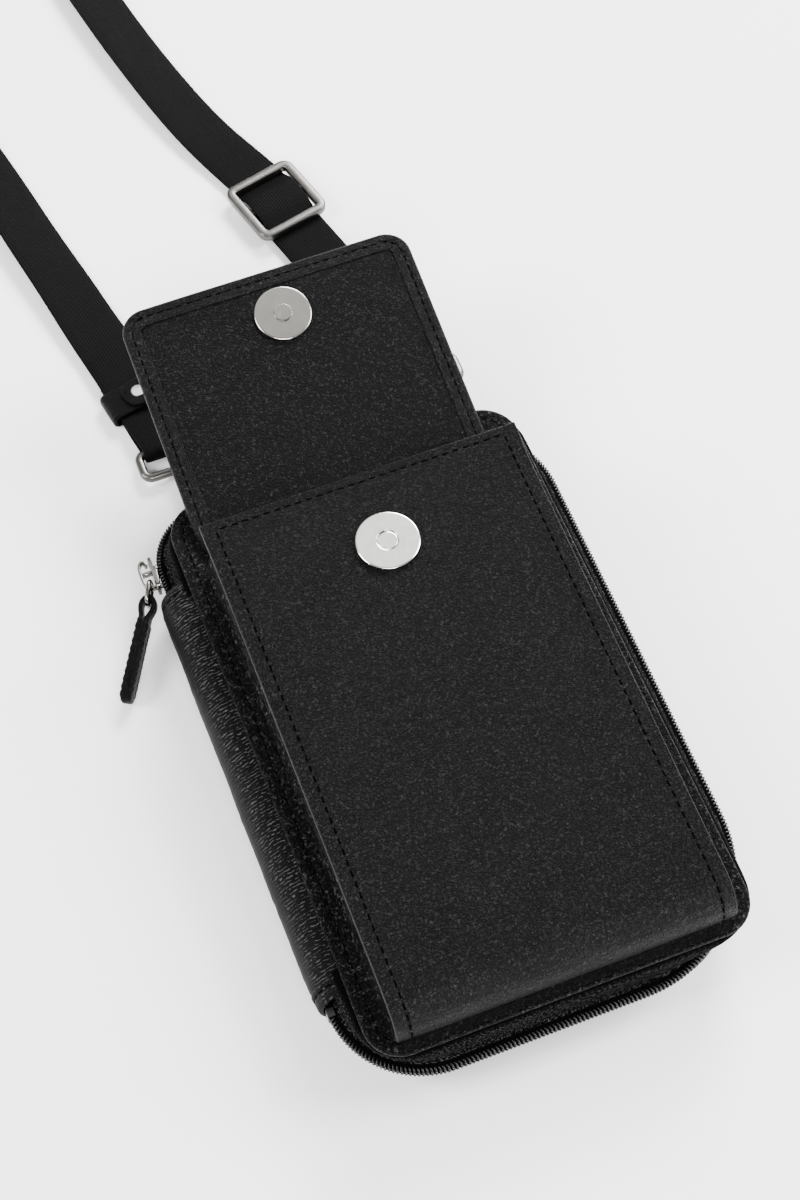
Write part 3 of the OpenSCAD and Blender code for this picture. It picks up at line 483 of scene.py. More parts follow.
def softened(node, offset=0.25, segments=2):
    """A copy of a CAD node's mesh in millimetres, merged, with its hard edges rounded."""
    bm = bmesh.new()
    bm.from_mesh(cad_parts[node].data)
    bmesh.ops.scale(bm, vec=(1000, 1000, 1000), verts=bm.verts[:])
    bmesh.ops.remove_doubles(bm, verts=bm.verts[:], dist=1e-3)
    bmesh.ops.dissolve_limit(bm, angle_limit=math.radians(1), verts=bm.verts[:], edges=bm.edges[:])
    hard = [e for e in bm.edges if e.is_manifold and e.calc_face_angle(0) > math.radians(35)]
    bmesh.ops.bevel(bm, geom=hard, offset=offset, offset_type="OFFSET", affect="EDGES", segments=segments,
                    profile=0.5, material=-1, clamp_overlap=True)
    bmesh.ops.triangulate(bm, faces=[f for f in bm.faces if len(f.verts) > 4])
    return bm


def small_block(length, width, height, round_off):
    """The mesh of one small rounded block, for stitches and zip beads."""
    bm = bmesh.new()
    bmesh.ops.create_cube(bm, size=1)
    bmesh.ops.scale(bm, vec=(length, width, height), verts=bm.verts[:])
    bmesh.ops.bevel(bm, geom=bm.edges[:], offset=round_off, offset_type="OFFSET", affect="EDGES", segments=1,
                    profile=0.5, material=-1)
    mesh = bpy.data.meshes.new("block")
    bm.to_mesh(mesh)
    bm.free()
    return mesh


def add_blocks(bm, block, places):
    """Adds a copy of a block at each place: a point, the direction along it and the direction out."""
    count = len(block.vertices)
    for point, along, out in places:
        along = Vector(along).normalized()
        side = Vector(out).cross(along).normalized()
        out = along.cross(side)
        bm.from_mesh(block)
        bm.verts.ensure_lookup_table()
        turn = Matrix((along, side, out)).transposed().to_4x4()
        bmesh.ops.transform(bm, matrix=Matrix.Translation(point) @ turn, verts=bm.verts[-count:])
    return bm


def stitch_places(walk, total, pitch=3.3, start=1.2, lean=0.0):
    """Where the stitches go: walk(s) gives a point and the direction out at a length along the seam."""
    places, s = [], start
    while s + pitch * 0.7 < total:
        (a, out), (b, _) = walk(s), walk(s + pitch * 0.7)
        a, b = Vector(a), Vector(b)
        along = b - a
        if lean:
            along = along + Vector(out).cross(along) * lean
        places.append(((a + b) / 2, along, out))
        s += pitch
    return places


def edge_fall(d, r):
    """How far a rounded edge has fallen at distance d inside it."""
    d = min(max(d, 0), r)
    return r - math.sqrt(max(0, r * r - (r - d) ** 2))


def dip(d, at, wide, deep):
    return deep * math.exp(-((d - at) / wide) ** 2)


def waves(x, y, scale, seed=0.0):
    return noise.noise(Vector((x * scale, y * scale, seed)))


class Line:
    """A line through points in a plane. at(s) gives the point there, and off moves it to the line's left."""

    def __init__(self, points):
        self.points = points
        self.marks = [0.0]
        for (a, b), (c, d) in zip(points, points[1:]):
            self.marks.append(self.marks[-1] + math.hypot(c - a, d - b))
        self.length = self.marks[-1]
        last = len(points) - 1
        self.heading = []
        for i in range(len(points)):
            (a, b), (c, d) = points[max(i - 1, 0)], points[min(i + 1, last)]
            long = math.hypot(c - a, d - b)
            self.heading.append(((c - a) / long, (d - b) / long))

    def at(self, s, off=0.0):
        i = 0
        while i < len(self.marks) - 2 and s > self.marks[i + 1]:
            i += 1
        t = (s - self.marks[i]) / (self.marks[i + 1] - self.marks[i])
        (a, b), (c, d) = self.points[i], self.points[i + 1]
        (e, f), (g, h) = self.heading[i], self.heading[i + 1]
        u, v = e + (g - e) * t, f + (h - f) * t
        long = math.hypot(u, v)
        u, v = u / long, v / long
        return a + (c - a) * t - v * off, b + (d - b) * t + u * off, u, v


def arc(cx, cy, r, start, end, steps):
    return [(cx + r * math.cos(math.radians(start + (end - start) * k / steps)),
             cy + r * math.sin(math.radians(start + (end - start) * k / steps))) for k in range(steps + 1)]


def c_line(w, l, r, low_y, high_y, steps=16, foot_in=0.0):
    """The outline from the left side at low_y, round the foot, right side and top, to the left side at high_y."""
    a, b, c, d = r if isinstance(r, tuple) else (r,) * 4
    x, y, foot = w / 2, l / 2, foot_in - l / 2
    return Line([(-x, low_y)] + arc(a - x, foot + a, a, 180, 270, steps) + arc(x - b, foot + b, b, 270, 360, steps)
                + arc(x - c, y - c, c, 0, 90, steps) + arc(d - x, y - d, d, 90, 180, steps) + [(-x, high_y)])


# ---------------------------------------------------------------- the strap

RING_LOW_Y, RING_HIGH_Y, RING_Z = 122.5, 132.0, 3.1
LEFT_RING_X, RIGHT_RING_X = -43.5, 42.0
LEFT_TURN, RIGHT_TURN = math.radians(10), math.radians(13.8)
FOLD_R = 2.34
WEB_W, WEB_T = 19.0, 1.2
ADJUSTER_X, ADJUSTER_Y, ADJUSTER_RUN = 21.486, 215.518, 86.0
STRAP_ROUTE = [
    (-49.2, 32.4, 2.6, 0), (-51, 43, 2, 0), (-53.5, 56, 1, -5), (-57, 76, 0.4, -10),
    (-61.5, 100, 0, -14), (-66, 126, 0, -15), (-77, 183, 0, -16), (-83, 216, 0, -20),
    (-89, 252, 0, -30), (-94, 288, 0, -45), (-97.5, 324, 0, -62), (-99.5, 360, 0, -78),
    (-100, 393, 0, -88), (-100, 503, 0, -90), (-98.5, 514, 0, -90), (-94.5, 524, 0, -90),
    (-88, 532.5, 0, -90), (-79.5, 539, 0, -90), (-69, 543, 0, -90), (-58.5, 544.5, 0, -90),
    (-48, 543, 0, -90), (-37.5, 539, 0, -90), (-29, 532.5, 0, -90), (-22.5, 524, 0, -90),
    (-18.5, 514, 0, -90), (-17, 503, 0, -90), (-17, 433, 0, -86), (-17, 398, 0, -75),
    (-17, 366, 0, -58), (-16.5, 336, 0, -40), (-16, 305, 0, -21), (-15, 273, 0, -4),
    (-13.5, 246, 0, 6), (-11, 222, 0, 12), (-8.4, 202, 0, 14), (-2.7, 169, 0, 13),
    (4.6, 137, 0, 9), (9.2, 121.5, 0.2, 6), (14.2, 108, 0.7, 2), (18.1, 97.3, 1.4, 0)]
WEB_PROFILE = [(9.5, 0), (9.38, 0.36), (9.0, 0.57), (6.0, 0.6), (2.0, 0.6), (-2.0, 0.6), (-6.0, 0.6), (-9.0, 0.57),
               (-9.38, 0.36), (-9.5, 0), (-9.38, -0.36), (-9.0, -0.57), (-6.0, -0.6), (-2.0, -0.6), (2.0, -0.6),
               (6.0, -0.6), (9.0, -0.57), (9.38, -0.36)]


def curve_through(points, step):
    """Points on a smooth curve through the given ones, about step apart. Each may carry more values than its place."""
    out = []
    for i in range(len(points) - 1):
        a, b, c, d = (points[min(max(j, 0), len(points) - 1)] for j in (i - 1, i, i + 1, i + 2))
        gap = math.dist(b[:3], c[:3])
        count = max(1, round(gap / step))
        before, after = max(math.dist(a[:3], b[:3]), 1e-6), max(math.dist(c[:3], d[:3]), 1e-6)
        for k in range(count):
            t = k / count
            point = []
            for p, q, r, s in zip(a, b, c, d):
                m0 = ((q - p) / before + (r - q) / gap) / 2 * gap if before > 1e-5 else r - q
                m1 = ((r - q) / gap + (s - r) / after) / 2 * gap if after > 1e-5 else r - q
                point.append((2 * t ** 3 - 3 * t ** 2 + 1) * q + (t ** 3 - 2 * t ** 2 + t) * m0
                             + (-2 * t ** 3 + 3 * t ** 2) * r + (t ** 3 - t ** 2) * m1)
            out.append(tuple(point))
    out.append(tuple(points[-1]))
    return out


def web_stations(points, start_across=None, end_across=None):
    """Stations for webbing through points of x, y, z and tilt. The width lies square to the run, tilted."""
    places = [Vector(p[:3]) for p in points]
    last, stations = len(points) - 1, []
    for i, p in enumerate(points):
        heading = (places[min(i + 1, last)] - places[max(i - 1, 0)]).normalized()
        if i == 0 and start_across:
            side = Vector(start_across)
        elif i == last and end_across:
            side = Vector(end_across)
        else:
            side = Vector((heading.y, -heading.x, 0)).normalized()
        tilt = math.radians(p[3])
        across = (side * math.cos(tilt) + Vector((0, 0, math.sin(tilt)))).normalized()
        stations.append((places[i], across, across.cross(heading).normalized()))
    return stations


def loop_points():
    return [(x, RING_HIGH_Y + y, 0.3 + lift + abs(math.sin(math.radians(t))) * WEB_W / 2
             + math.cos(math.radians(t)) * WEB_T / 2, t) for x, y, lift, t in STRAP_ROUTE]


def fold_stations(x, turn, low_l, high_l):
    """Webbing folded round a ring's upper bar, from the lower layer's end to the upper layer's end."""
    rows = [(s, 2.2 if s > low_l * 0.3 else RING_Z - FOLD_R + 0.25) for s in (low_l, low_l * 0.75, low_l * 0.5, low_l * 0.25)]
    points = [(x - s * math.tan(turn), RING_HIGH_Y + s, z, turn * s / high_l) for s, z in rows]
    for k in range(13):
        a = math.radians(270 - k * 15)
        points.append((x, RING_HIGH_Y + FOLD_R * math.cos(a), RING_Z + FOLD_R * math.sin(a), 0))
    rows = [(s, 3.45 if s > high_l * 0.3 else RING_Z + FOLD_R - 0.25) for s in (high_l * 0.25, high_l * 0.5, high_l * 0.75, high_l)]
    points += [(x - s * math.tan(turn), RING_HIGH_Y + s, z, turn * s / high_l) for s, z in rows]
    last, stations = len(points) - 1, []
    for i, p in enumerate(points):
        heading = Vector(points[min(i + 1, last)][:3]) - Vector(points[max(i - 1, 0)][:3])
        across = Vector((math.cos(p[3]), math.sin(p[3]), 0))
        stations.append((Vector(p[:3]), across, across.cross(heading).normalized()))
    return stations


def at_adjuster(x, y, z):
    return Vector((ADJUSTER_X + x * math.cos(RIGHT_TURN) - y * math.sin(RIGHT_TURN),
                   ADJUSTER_Y + x * math.sin(RIGHT_TURN) + y * math.cos(RIGHT_TURN), z))


def straight_stations(points, across):
    """Stations for webbing that runs in one upright plane, with its width the same way all along."""
    places = [Vector(p[:3]) for p in curve_through(points, 1.2)]
    last = len(places) - 1
    return [(p, Vector(across), Vector(across).cross(places[min(i + 1, last)] - places[max(i - 1, 0)]).normalized())
            for i, p in enumerate(places)]


def make_strap():
    across = (math.cos(RIGHT_TURN), math.sin(RIGHT_TURN), 0)
    back_across = tuple(-c for c in across)
    split_y = 300.0
    whole = curve_through(loop_points(), 5)
    left = [p for p in whole[:200] if p[1] < split_y and p[0] < -40]
    cut = len(left)
    left_end = whole[cut]
    fold = fold_stations(LEFT_RING_X, LEFT_TURN, 32, 32)
    first = web_stations(left + [left_end], (math.cos(LEFT_TURN), math.sin(LEFT_TURN), 0))
    bm = carried(WEB_PROFILE, fold[:-1] + first[1:])
    left_run = finished("strap_left_run", bm, None, "webbing", slot="webbing", stands_for=["strap_left_end"],
                        blend=("back_half", "left_strap_end", (0, 232, 0), (0, 162, 0)))
    path = [p for p, _, _ in fold[:-1] + first[1:]]
    [c * MM for c in path[0]]
    run_length(path) * MM
    [[c * MM for c in p] for p in path]

    rest = whole[cut:]
    through = [at_adjuster(0, s * 13.5, 2.25 + rise * 3.8) for s, rise in
               ((1, 0), (0.86, 0.02), (0.72, 0.12), (0.54, 0.45), (0.36, 0.8), (0.18, 0.97), (0, 1), (-0.18, 0.97),
                (-0.36, 0.8), (-0.54, 0.45), (-0.72, 0.12), (-0.86, 0.02), (-1, 0))]
    loop = web_stations(rest, None, back_across)
    loop[0] = first[-1]
    over = straight_stations([tuple(loop[-1][0])] + [tuple(p) for p in through], back_across)
    bm = carried(WEB_PROFILE, loop + over[1:])
    strap_loop = finished("strap_loop_run", bm, None, "webbing", slot="webbing",
                          stands_for=["strap_loop", "strap_at_adjuster"],
                          blend=("back_half", "adjuster", (-16, 0, 0), (14, 0, 0)))
    path = [p for p, _, _ in loop + over[1:]]
    [c * MM for c in path[0]]
    run_length(path) * MM
    [[c * MM for c in p] for p in path]

    def beside(s, z):
        return (RIGHT_RING_X - s * math.tan(RIGHT_TURN), RING_HIGH_Y + s, z)

    end = ADJUSTER_RUN * math.cos(RIGHT_TURN) - 13.5 * math.cos(RIGHT_TURN)
    upper = [beside(s, z) for s, z in ((26, 3.45), (34, 3.25), (45, 2.8), (56, 2.35), (64, 2.25), (end, 2.25))]
    bm = carried(WEB_PROFILE, straight_stations(upper, across))
    finished("strap_upper_layer", bm, None, "webbing", slot="webbing", stands_for=["strap_double"],
             blend=("back_half", "adjuster", (0, 166, 0), (0, 203, 0)))
    lower = [beside(s, z) for s, z in ((26, 2.2), (34, 1.95), (45, 1.5), (56, 1.1), (64, 1.0), (end, 1.0))]
    lower += [tuple(at_adjuster(0, y, z)) for y, z in ((-9, 1.0), (-6, 1.15), (-3.2, 1.75), (0, 2.25), (2.2, 2.3))]
    bm = carried(WEB_PROFILE, straight_stations(lower, across))
    finished("strap_lower_layer", bm, None, "webbing", slot="webbing",
             blend=("back_half", "adjuster", (0, 166, 0), (0, 203, 0)))
    bm = carried(WEB_PROFILE, fold_stations(RIGHT_RING_X, RIGHT_TURN, 26, 26))
    finished("strap_right_turn", bm, None, "webbing", slot="webbing", stands_for=["strap_right_fold"],
             blend=("back_half", "right_strap_end", (0, 157.5, 0), (0, 135, 0)))


def run_length(path):
    return sum((Vector(b) - Vector(a)).length for a, b in zip(path, path[1:]))


# ---------------------------------------------------------------- covers, spine and inside

EDGE = [0, 0.1, 0.3, 0.6, 1.0]
SEAM = EDGE + [1.8, 2.6, 3.0, 3.25, 3.5, 3.75, 4.0, 4.4, 5.2, 6.0]


# Width, length and corner radii of the back and front covers: the back's soft corners are drawn in under the zip.
COVER_LINES = ((COVER_W, COVER_L, (16, 24, 20, 12)), (COVER_W + 1.0, COVER_L + 2.6, (10.8, 10.8, 12, 12)))


def cover(name, node, body, on_front):
    """A cover with its turned, stitched edge. The outer side is the top of the front half's mirror image."""
    outer = [(0.12, 0.34), (0.2, 0.24), (0.3, 0.12), (0.4, 0.04), (1.6, 0.06), (0.35, -0.14), (0.25, -0.22), (0.2, -0.02),
             (0.25, 0.2), (0.35, 0.12), (1.2, -0.06), (1.2, 0)]
    inner = [(0.15, 0.3), (0.3, 0.15), (0.5, 0.05)]
    w, l, r = COVER_LINES[on_front]
    bm = rounded_plate(w, l, r, 0.82, COVER_T - 0.5, top=inner, under=outer)
    if on_front:
        bmesh.ops.transform(bm, matrix=Matrix.Translation((0, 0, WALLET_T)) @ Matrix.Diagonal((1, 1, -1, 1)),
                            verts=bm.verts[:])
    finished(name, bm, body, "margin_leather" if on_front else "cover_leather", slot="leather_face", stands_for=[node])


def cover_stitches(name, body, on_front):
    w, l, r = COVER_LINES[on_front]
    seam = c_line(w - 7.6, l - 7.6, tuple(c - 3.8 for c in r), 0.0, 0.0)

    def walk(s):
        x, y, _, _ = seam.at(s)
        return ((x, y, WALLET_T - 0.26), (0, 0, 1)) if on_front else ((x, y, 0.28), (0, 0, -1))

    bm = add_blocks(bmesh.new(), small_block(2.3, 0.5, 0.42, 0.14), stitch_places(walk, seam.length))
    finished(name, bm, body, "thread", slot="leather_edge", turn_out=False)


def spine_path():
    """The spine's outer face from under the back cover, out round the side, to under the front cover."""
    centre, r = (-53.5, MID_Z), 11.0
    start = math.degrees(math.atan2(2.2 - MID_Z, math.sqrt(r * r - (2.2 - MID_Z) ** 2) * -1))
    sweep = 180 - abs(start) if start < 0 else 0
    bend = arc(centre[0], centre[1], r, 180 + sweep, 180 - sweep, 28)
    return Line([(-50.7, 1.86), (-54.0, 1.9), (-56.4, 1.98)] + bend[2:-2] + [(-56.4, 23.02), (-54.0, 23.1), (-50.7, 23.14)])


def make_spine():
    path = spine_path()
    half = 70.0
    xs = lines(0, path.length, [0, 1.5, 3.0], [0, 1.5, 3.0], 0.9)
    hem = [0, 0.12, 0.35, 0.7, 1.2, 1.9, 2.6, 3.0, 3.3, 3.6, 3.9, 4.3, 4.7, 5.0, 5.3, 5.8]
    ys = lines(-half, half, hem, hem, 1.0)

    def fuller(s, y):
        """How far the spine bellies out, most at its upper end."""
        return (0.9 + 1.1 * (0.5 + y / 140)) * math.sin(math.pi * s / path.length) ** 2

    def place(s, y, side):
        d = half - abs(y)
        near = min(s, path.length - s)
        free = min(1.0, max(0.0, (near - 4.0) / 4.0))
        rise = 0.12 * waves(s * 0.3, y, 0.35, 3.1) * free - 0.1 + 0.3 * waves(s, y, 0.05, 8.0) * free
        if d < 4.9:
            rise = 0.16 * free - edge_fall(d, 0.9) * 0.9 - dip(d, 3.3, 0.4, 0.3)
        elif d < 5.4:
            rise = rise + (0.16 * free - dip(d, 5.15, 0.2, 0.3) - rise) * (5.4 - d) / 0.5
        sag = 0.85 * math.exp(-((d / 4.5) ** 2)) * free
        x, z, _, _ = path.at(s, (rise if side else -1.15) - sag + fuller(s, y))
        return (x, y, z)

    bm = panel(xs, ys, place)
    finished("spine_wrap", bm, None, "spine_leather", slot="leather_face", stands_for=["spine"],
             blend=("back_half", "front_half", (-60, 0, 4.5), (-60, 0, 20.5)))
    stitches = bmesh.new()
    for end in (-1, 1):
        def walk(s, end=end):
            x, z, u, v = path.at(s, -0.55 + fuller(s, end * half))
            return (x, end * (half - 3.3), z), (-v, 0, u)
        places = [p for p in stitch_places(walk, path.length - 5, start=5.5)]
        add_blocks(stitches, small_block(2.3, 0.5, 0.42, 0.14), places)
    finished("spine_stitches", stitches, None, "thread", slot="leather_edge", turn_out=False,
             blend=("back_half", "front_half", (-60, 0, 4.5), (-60, 0, 20.5)))


def make_inside():
    """Linings, card panels and the note pocket, seen when the wallet is open."""
    for name, node, body, flip_over in (("back_lining_cloth", "back_lining", "back_half", False),
                                        ("front_lining_cloth", "front_lining", "front_half", True)):
        bm = rounded_plate(101.8, 175.8, 13, 1.85, 2.9, top=[(0.15, 0.22), (0.35, 0.2), (4.6, 0), (0.4, -0.12), (0.4, 0.12)],
                           segments=8)
        if flip_over:
            bmesh.ops.transform(bm, matrix=Matrix.Translation((0, 0, WALLET_T)) @ Matrix.Diagonal((1, 1, -1, 1)),
                                verts=bm.verts[:])
        finished(name, bm, body, "lining_cloth", slot="cloth", stands_for=[node])
    sheets = [("card_panel_back", "card_panel_tall", 3.4, 60, False), ("card_panel_mid", "card_panel_middle", 4.4, 45, False),
              ("card_panel_front", "card_panel_short", 5.4, 30, False), ("note_panel", "note_pocket_panel", 3.4, 50, True)]
    thread = bmesh.new()
    note_thread = bmesh.new()
    for name, node, z, top, on_front in sheets:
        body = "front_half" if on_front else "back_half"
        low = -87.0
        ys = lines(low, top, SEAM, [0, 0.08, 0.2, 0.4, 0.8, 1.6, 2.1, 2.4, 2.7, 3.2, 4.5], 3.0)
        xs = lines(-50, 50, SEAM, SEAM, 3.0)

        def place(x, y, side, z=z, top=top, on_front=on_front):
            r = 14.0
            over = max(0.0, (low + r) - y)
            narrow = (50 - r + math.sqrt(max(0.0, r * r - over * over))) / 50
            x2 = x * narrow
            d = min(50 * narrow - abs(x2), y - low, top - y)
            h = z + (1.0 - edge_fall(d, 0.45) - dip(min(50 * narrow - abs(x2), y - low), 3.5, 0.4, 0.15)
                     - dip(top - y, 2.4, 0.3, 0.14) if side else 0.0 + edge_fall(d, 0.2) * 0.4)
            return (x2, y, WALLET_T - h if on_front else h)

        bm = panel(xs, ys, place)
        # the top edge faces get the lighter edge finish: edge paint with a painted highlight
        paint_edges(bm, lambda at, top=top: at[1] > top - 0.45)
        finished(name, bm, body, "card_leather", "edge_paint_and_highlight", slot="leather_inside", stands_for=[node])
        seam = Line([(-46.5, top - 1.5)] + arc(-36.0, low + 14, 10.5, 180, 270, 6)
                    + arc(36.0, low + 14, 10.5, 270, 360, 6) + [(46.5, top - 1.5)])

        def walk(s, z=z, seam=seam, on_front=on_front):
            x, y, _, _ = seam.at(s)
            return ((x, y, WALLET_T - z - 0.95), (0, 0, -1)) if on_front else ((x, y, z + 0.95), (0, 0, 1))
        add_blocks(note_thread if on_front else thread, small_block(2.1, 0.45, 0.36, 0.12),
                   stitch_places(walk, seam.length, 3.0))
    finished("card_stitches", thread, "back_half", "thread", slot="leather_edge", turn_out=False)
    finished("note_stitches", note_thread, "front_half", "thread", slot="leather_edge", turn_out=False)


# ---------------------------------------------------------------- the zip

TAPE_EDGE = 10
DRAWN_IN = (28, 42, 34, 20)
FOOT_IN = 1.4
AT_COVER = ((26, 37, 30, 20), (20, 20, 20, 20))


def tape_wall():
    """The tape's outer face from under the cover to the coil, as inset and height. A step ends the woven band."""
    return Line([(11.5, 2.5), (8.4, 2.3), (7.0, 2.15), (6.3, 2.5), (5.8, 3.2), (5.35, 4.5), (5.0, 6.0), (4.65, 7.6),
                 (4.25, 9.0), (3.7, 9.9), (3.1, 10.4), (3.2, 10.65), (3.3, 10.85), (2.9, 11.1), (2.4, 11.35), (1.6, 11.5)])


def zip_wall(name, node, body, on_front):
    """Zip tape from under the cover, down the side of the wallet to the coil, whose soft corners are drawn in."""
    run = c_line(WALLET_W, WALLET_L, AT_COVER[on_front], -64, 64, 20, 0 if on_front else 0.7)
    drawn = c_line(WALLET_W, WALLET_L, DRAWN_IN, -64, 64, 20, FOOT_IN)
    wall = tape_wall()
    partner = {}
    for i in range(len(run.points) - 1):
        count = max(1, round((run.marks[i + 1] - run.marks[i]) / 4))
        for k in range(count + (i == len(run.points) - 2)):
            t = k / count
            partner[run.marks[i] + (run.marks[i + 1] - run.marks[i]) * t] = \
                drawn.marks[i] + (drawn.marks[i + 1] - drawn.marks[i]) * t
    ys = []
    for a, b in zip(wall.marks, wall.marks[1:]):
        count = max(1, round((b - a) / 0.9))
        ys += [a + (b - a) * k / count for k in range(count)]
    ys.append(wall.length)

    def place(s, t, side):
        x, y, u, v = run.at(s)
        x2, y2, u2, v2 = drawn.at(partner[s])
        inset, z, _, _ = wall.at(t, (0.0 if side else 0.7))
        share = min(1.0, max(0.0, (z - 2.5) / 8.5))
        share = share * share * (3 - 2 * share)
        inset -= 0.3 * waves(s, t, 0.05, 1.7 + on_front) * math.sin(math.pi * min(1.0, t / wall.length))
        inset -= 1.1 * math.exp(-((min(s, run.length - s) / 9.0) ** 2)) * math.sin(math.pi * min(1.0, max(0.0, z / 11.5)))
        x, y = x - v * inset, y + u * inset
        x2, y2 = x2 - v2 * inset, y2 + u2 * inset
        return (x + (x2 - x) * share, y + (y2 - y) * share, WALLET_T - z if on_front else z)

    bm = panel(sorted(partner), ys, place)
    finished(name, bm, body, "zip_tape", slot="zip_tape", stands_for=[node], sharp=50)


def zip_beads(name, node, body, on_front):
    """One half of the coil: its loops stand in a row across a cord at the tape's edge."""
    run = c_line(WALLET_W, WALLET_L, DRAWN_IN, -67, 71.5, 24, FOOT_IN)
    bead = small_block(0.7, 2.9, 1.62, 0.26)
    places, pitch = [], 1.2
    s = pitch * (0.5 if on_front else 1.0)
    while s < run.length - 1:
        x, y, u, v = run.at(s)
        point = Vector((x - v * 1.45, y + u * 1.45, MID_Z + (0.82 if on_front else -0.82)))
        slant = 0.3 if on_front else -0.3
        places.append((point, Vector((u - v * slant, v + u * slant, slant * 0.7)), (0, 0, 1)))
        s += pitch
    bm = add_blocks(bmesh.new(), bead, places)
    cord = [(1.1 * math.cos(a), 0.66 * math.sin(a)) for a in (math.pi / 6 * k for k in range(12))]
    stations = []
    for (x, y), (u, v) in zip(run.points, run.heading):
        point = (x - v * 1.4, y + u * 1.4, MID_Z + (0.72 if on_front else -0.72))
        stations.append((Vector(point), Vector((v, -u, 0)), Vector((0, 0, 1))))
    core = carried(cord, stations)
    spare = bpy.data.meshes.new("core")
    bmesh.ops.recalc_face_normals(core, faces=core.faces[:])
    for face in core.faces:
        face.material_index = 1
    core.to_mesh(spare)
    core.free()
    bm.from_mesh(spare)
    bpy.data.meshes.remove(spare)
    finished(name, bm, body, "zip_coil", "zip_cord", slot="zip_coil", stands_for=[node], turn_out=False, sharp=60)


# ---------------------------------------------------------------- the phone pocket

POCKET_HALF_W = 49.3
MOUTH_Y, MOUTH_Z, POCKET_TILT = 69.8, 48.7, math.radians(3.1)
ROLL_Y, ROLL_Z, ROLL_R, TUCK_R = -82.0, 30.46, 10.0, 5.35


def pocket_path():
    """The pocket's outer face from the mouth, over the front, round the roll and down to the cover."""
    return Line([(MOUTH_Y, MOUTH_Z)] + arc(ROLL_Y, ROLL_Z, ROLL_R, 93.1, 180, 20)
                + arc(ROLL_Y - ROLL_R + TUCK_R, ROLL_Z, TUCK_R, 186, 264, 9))


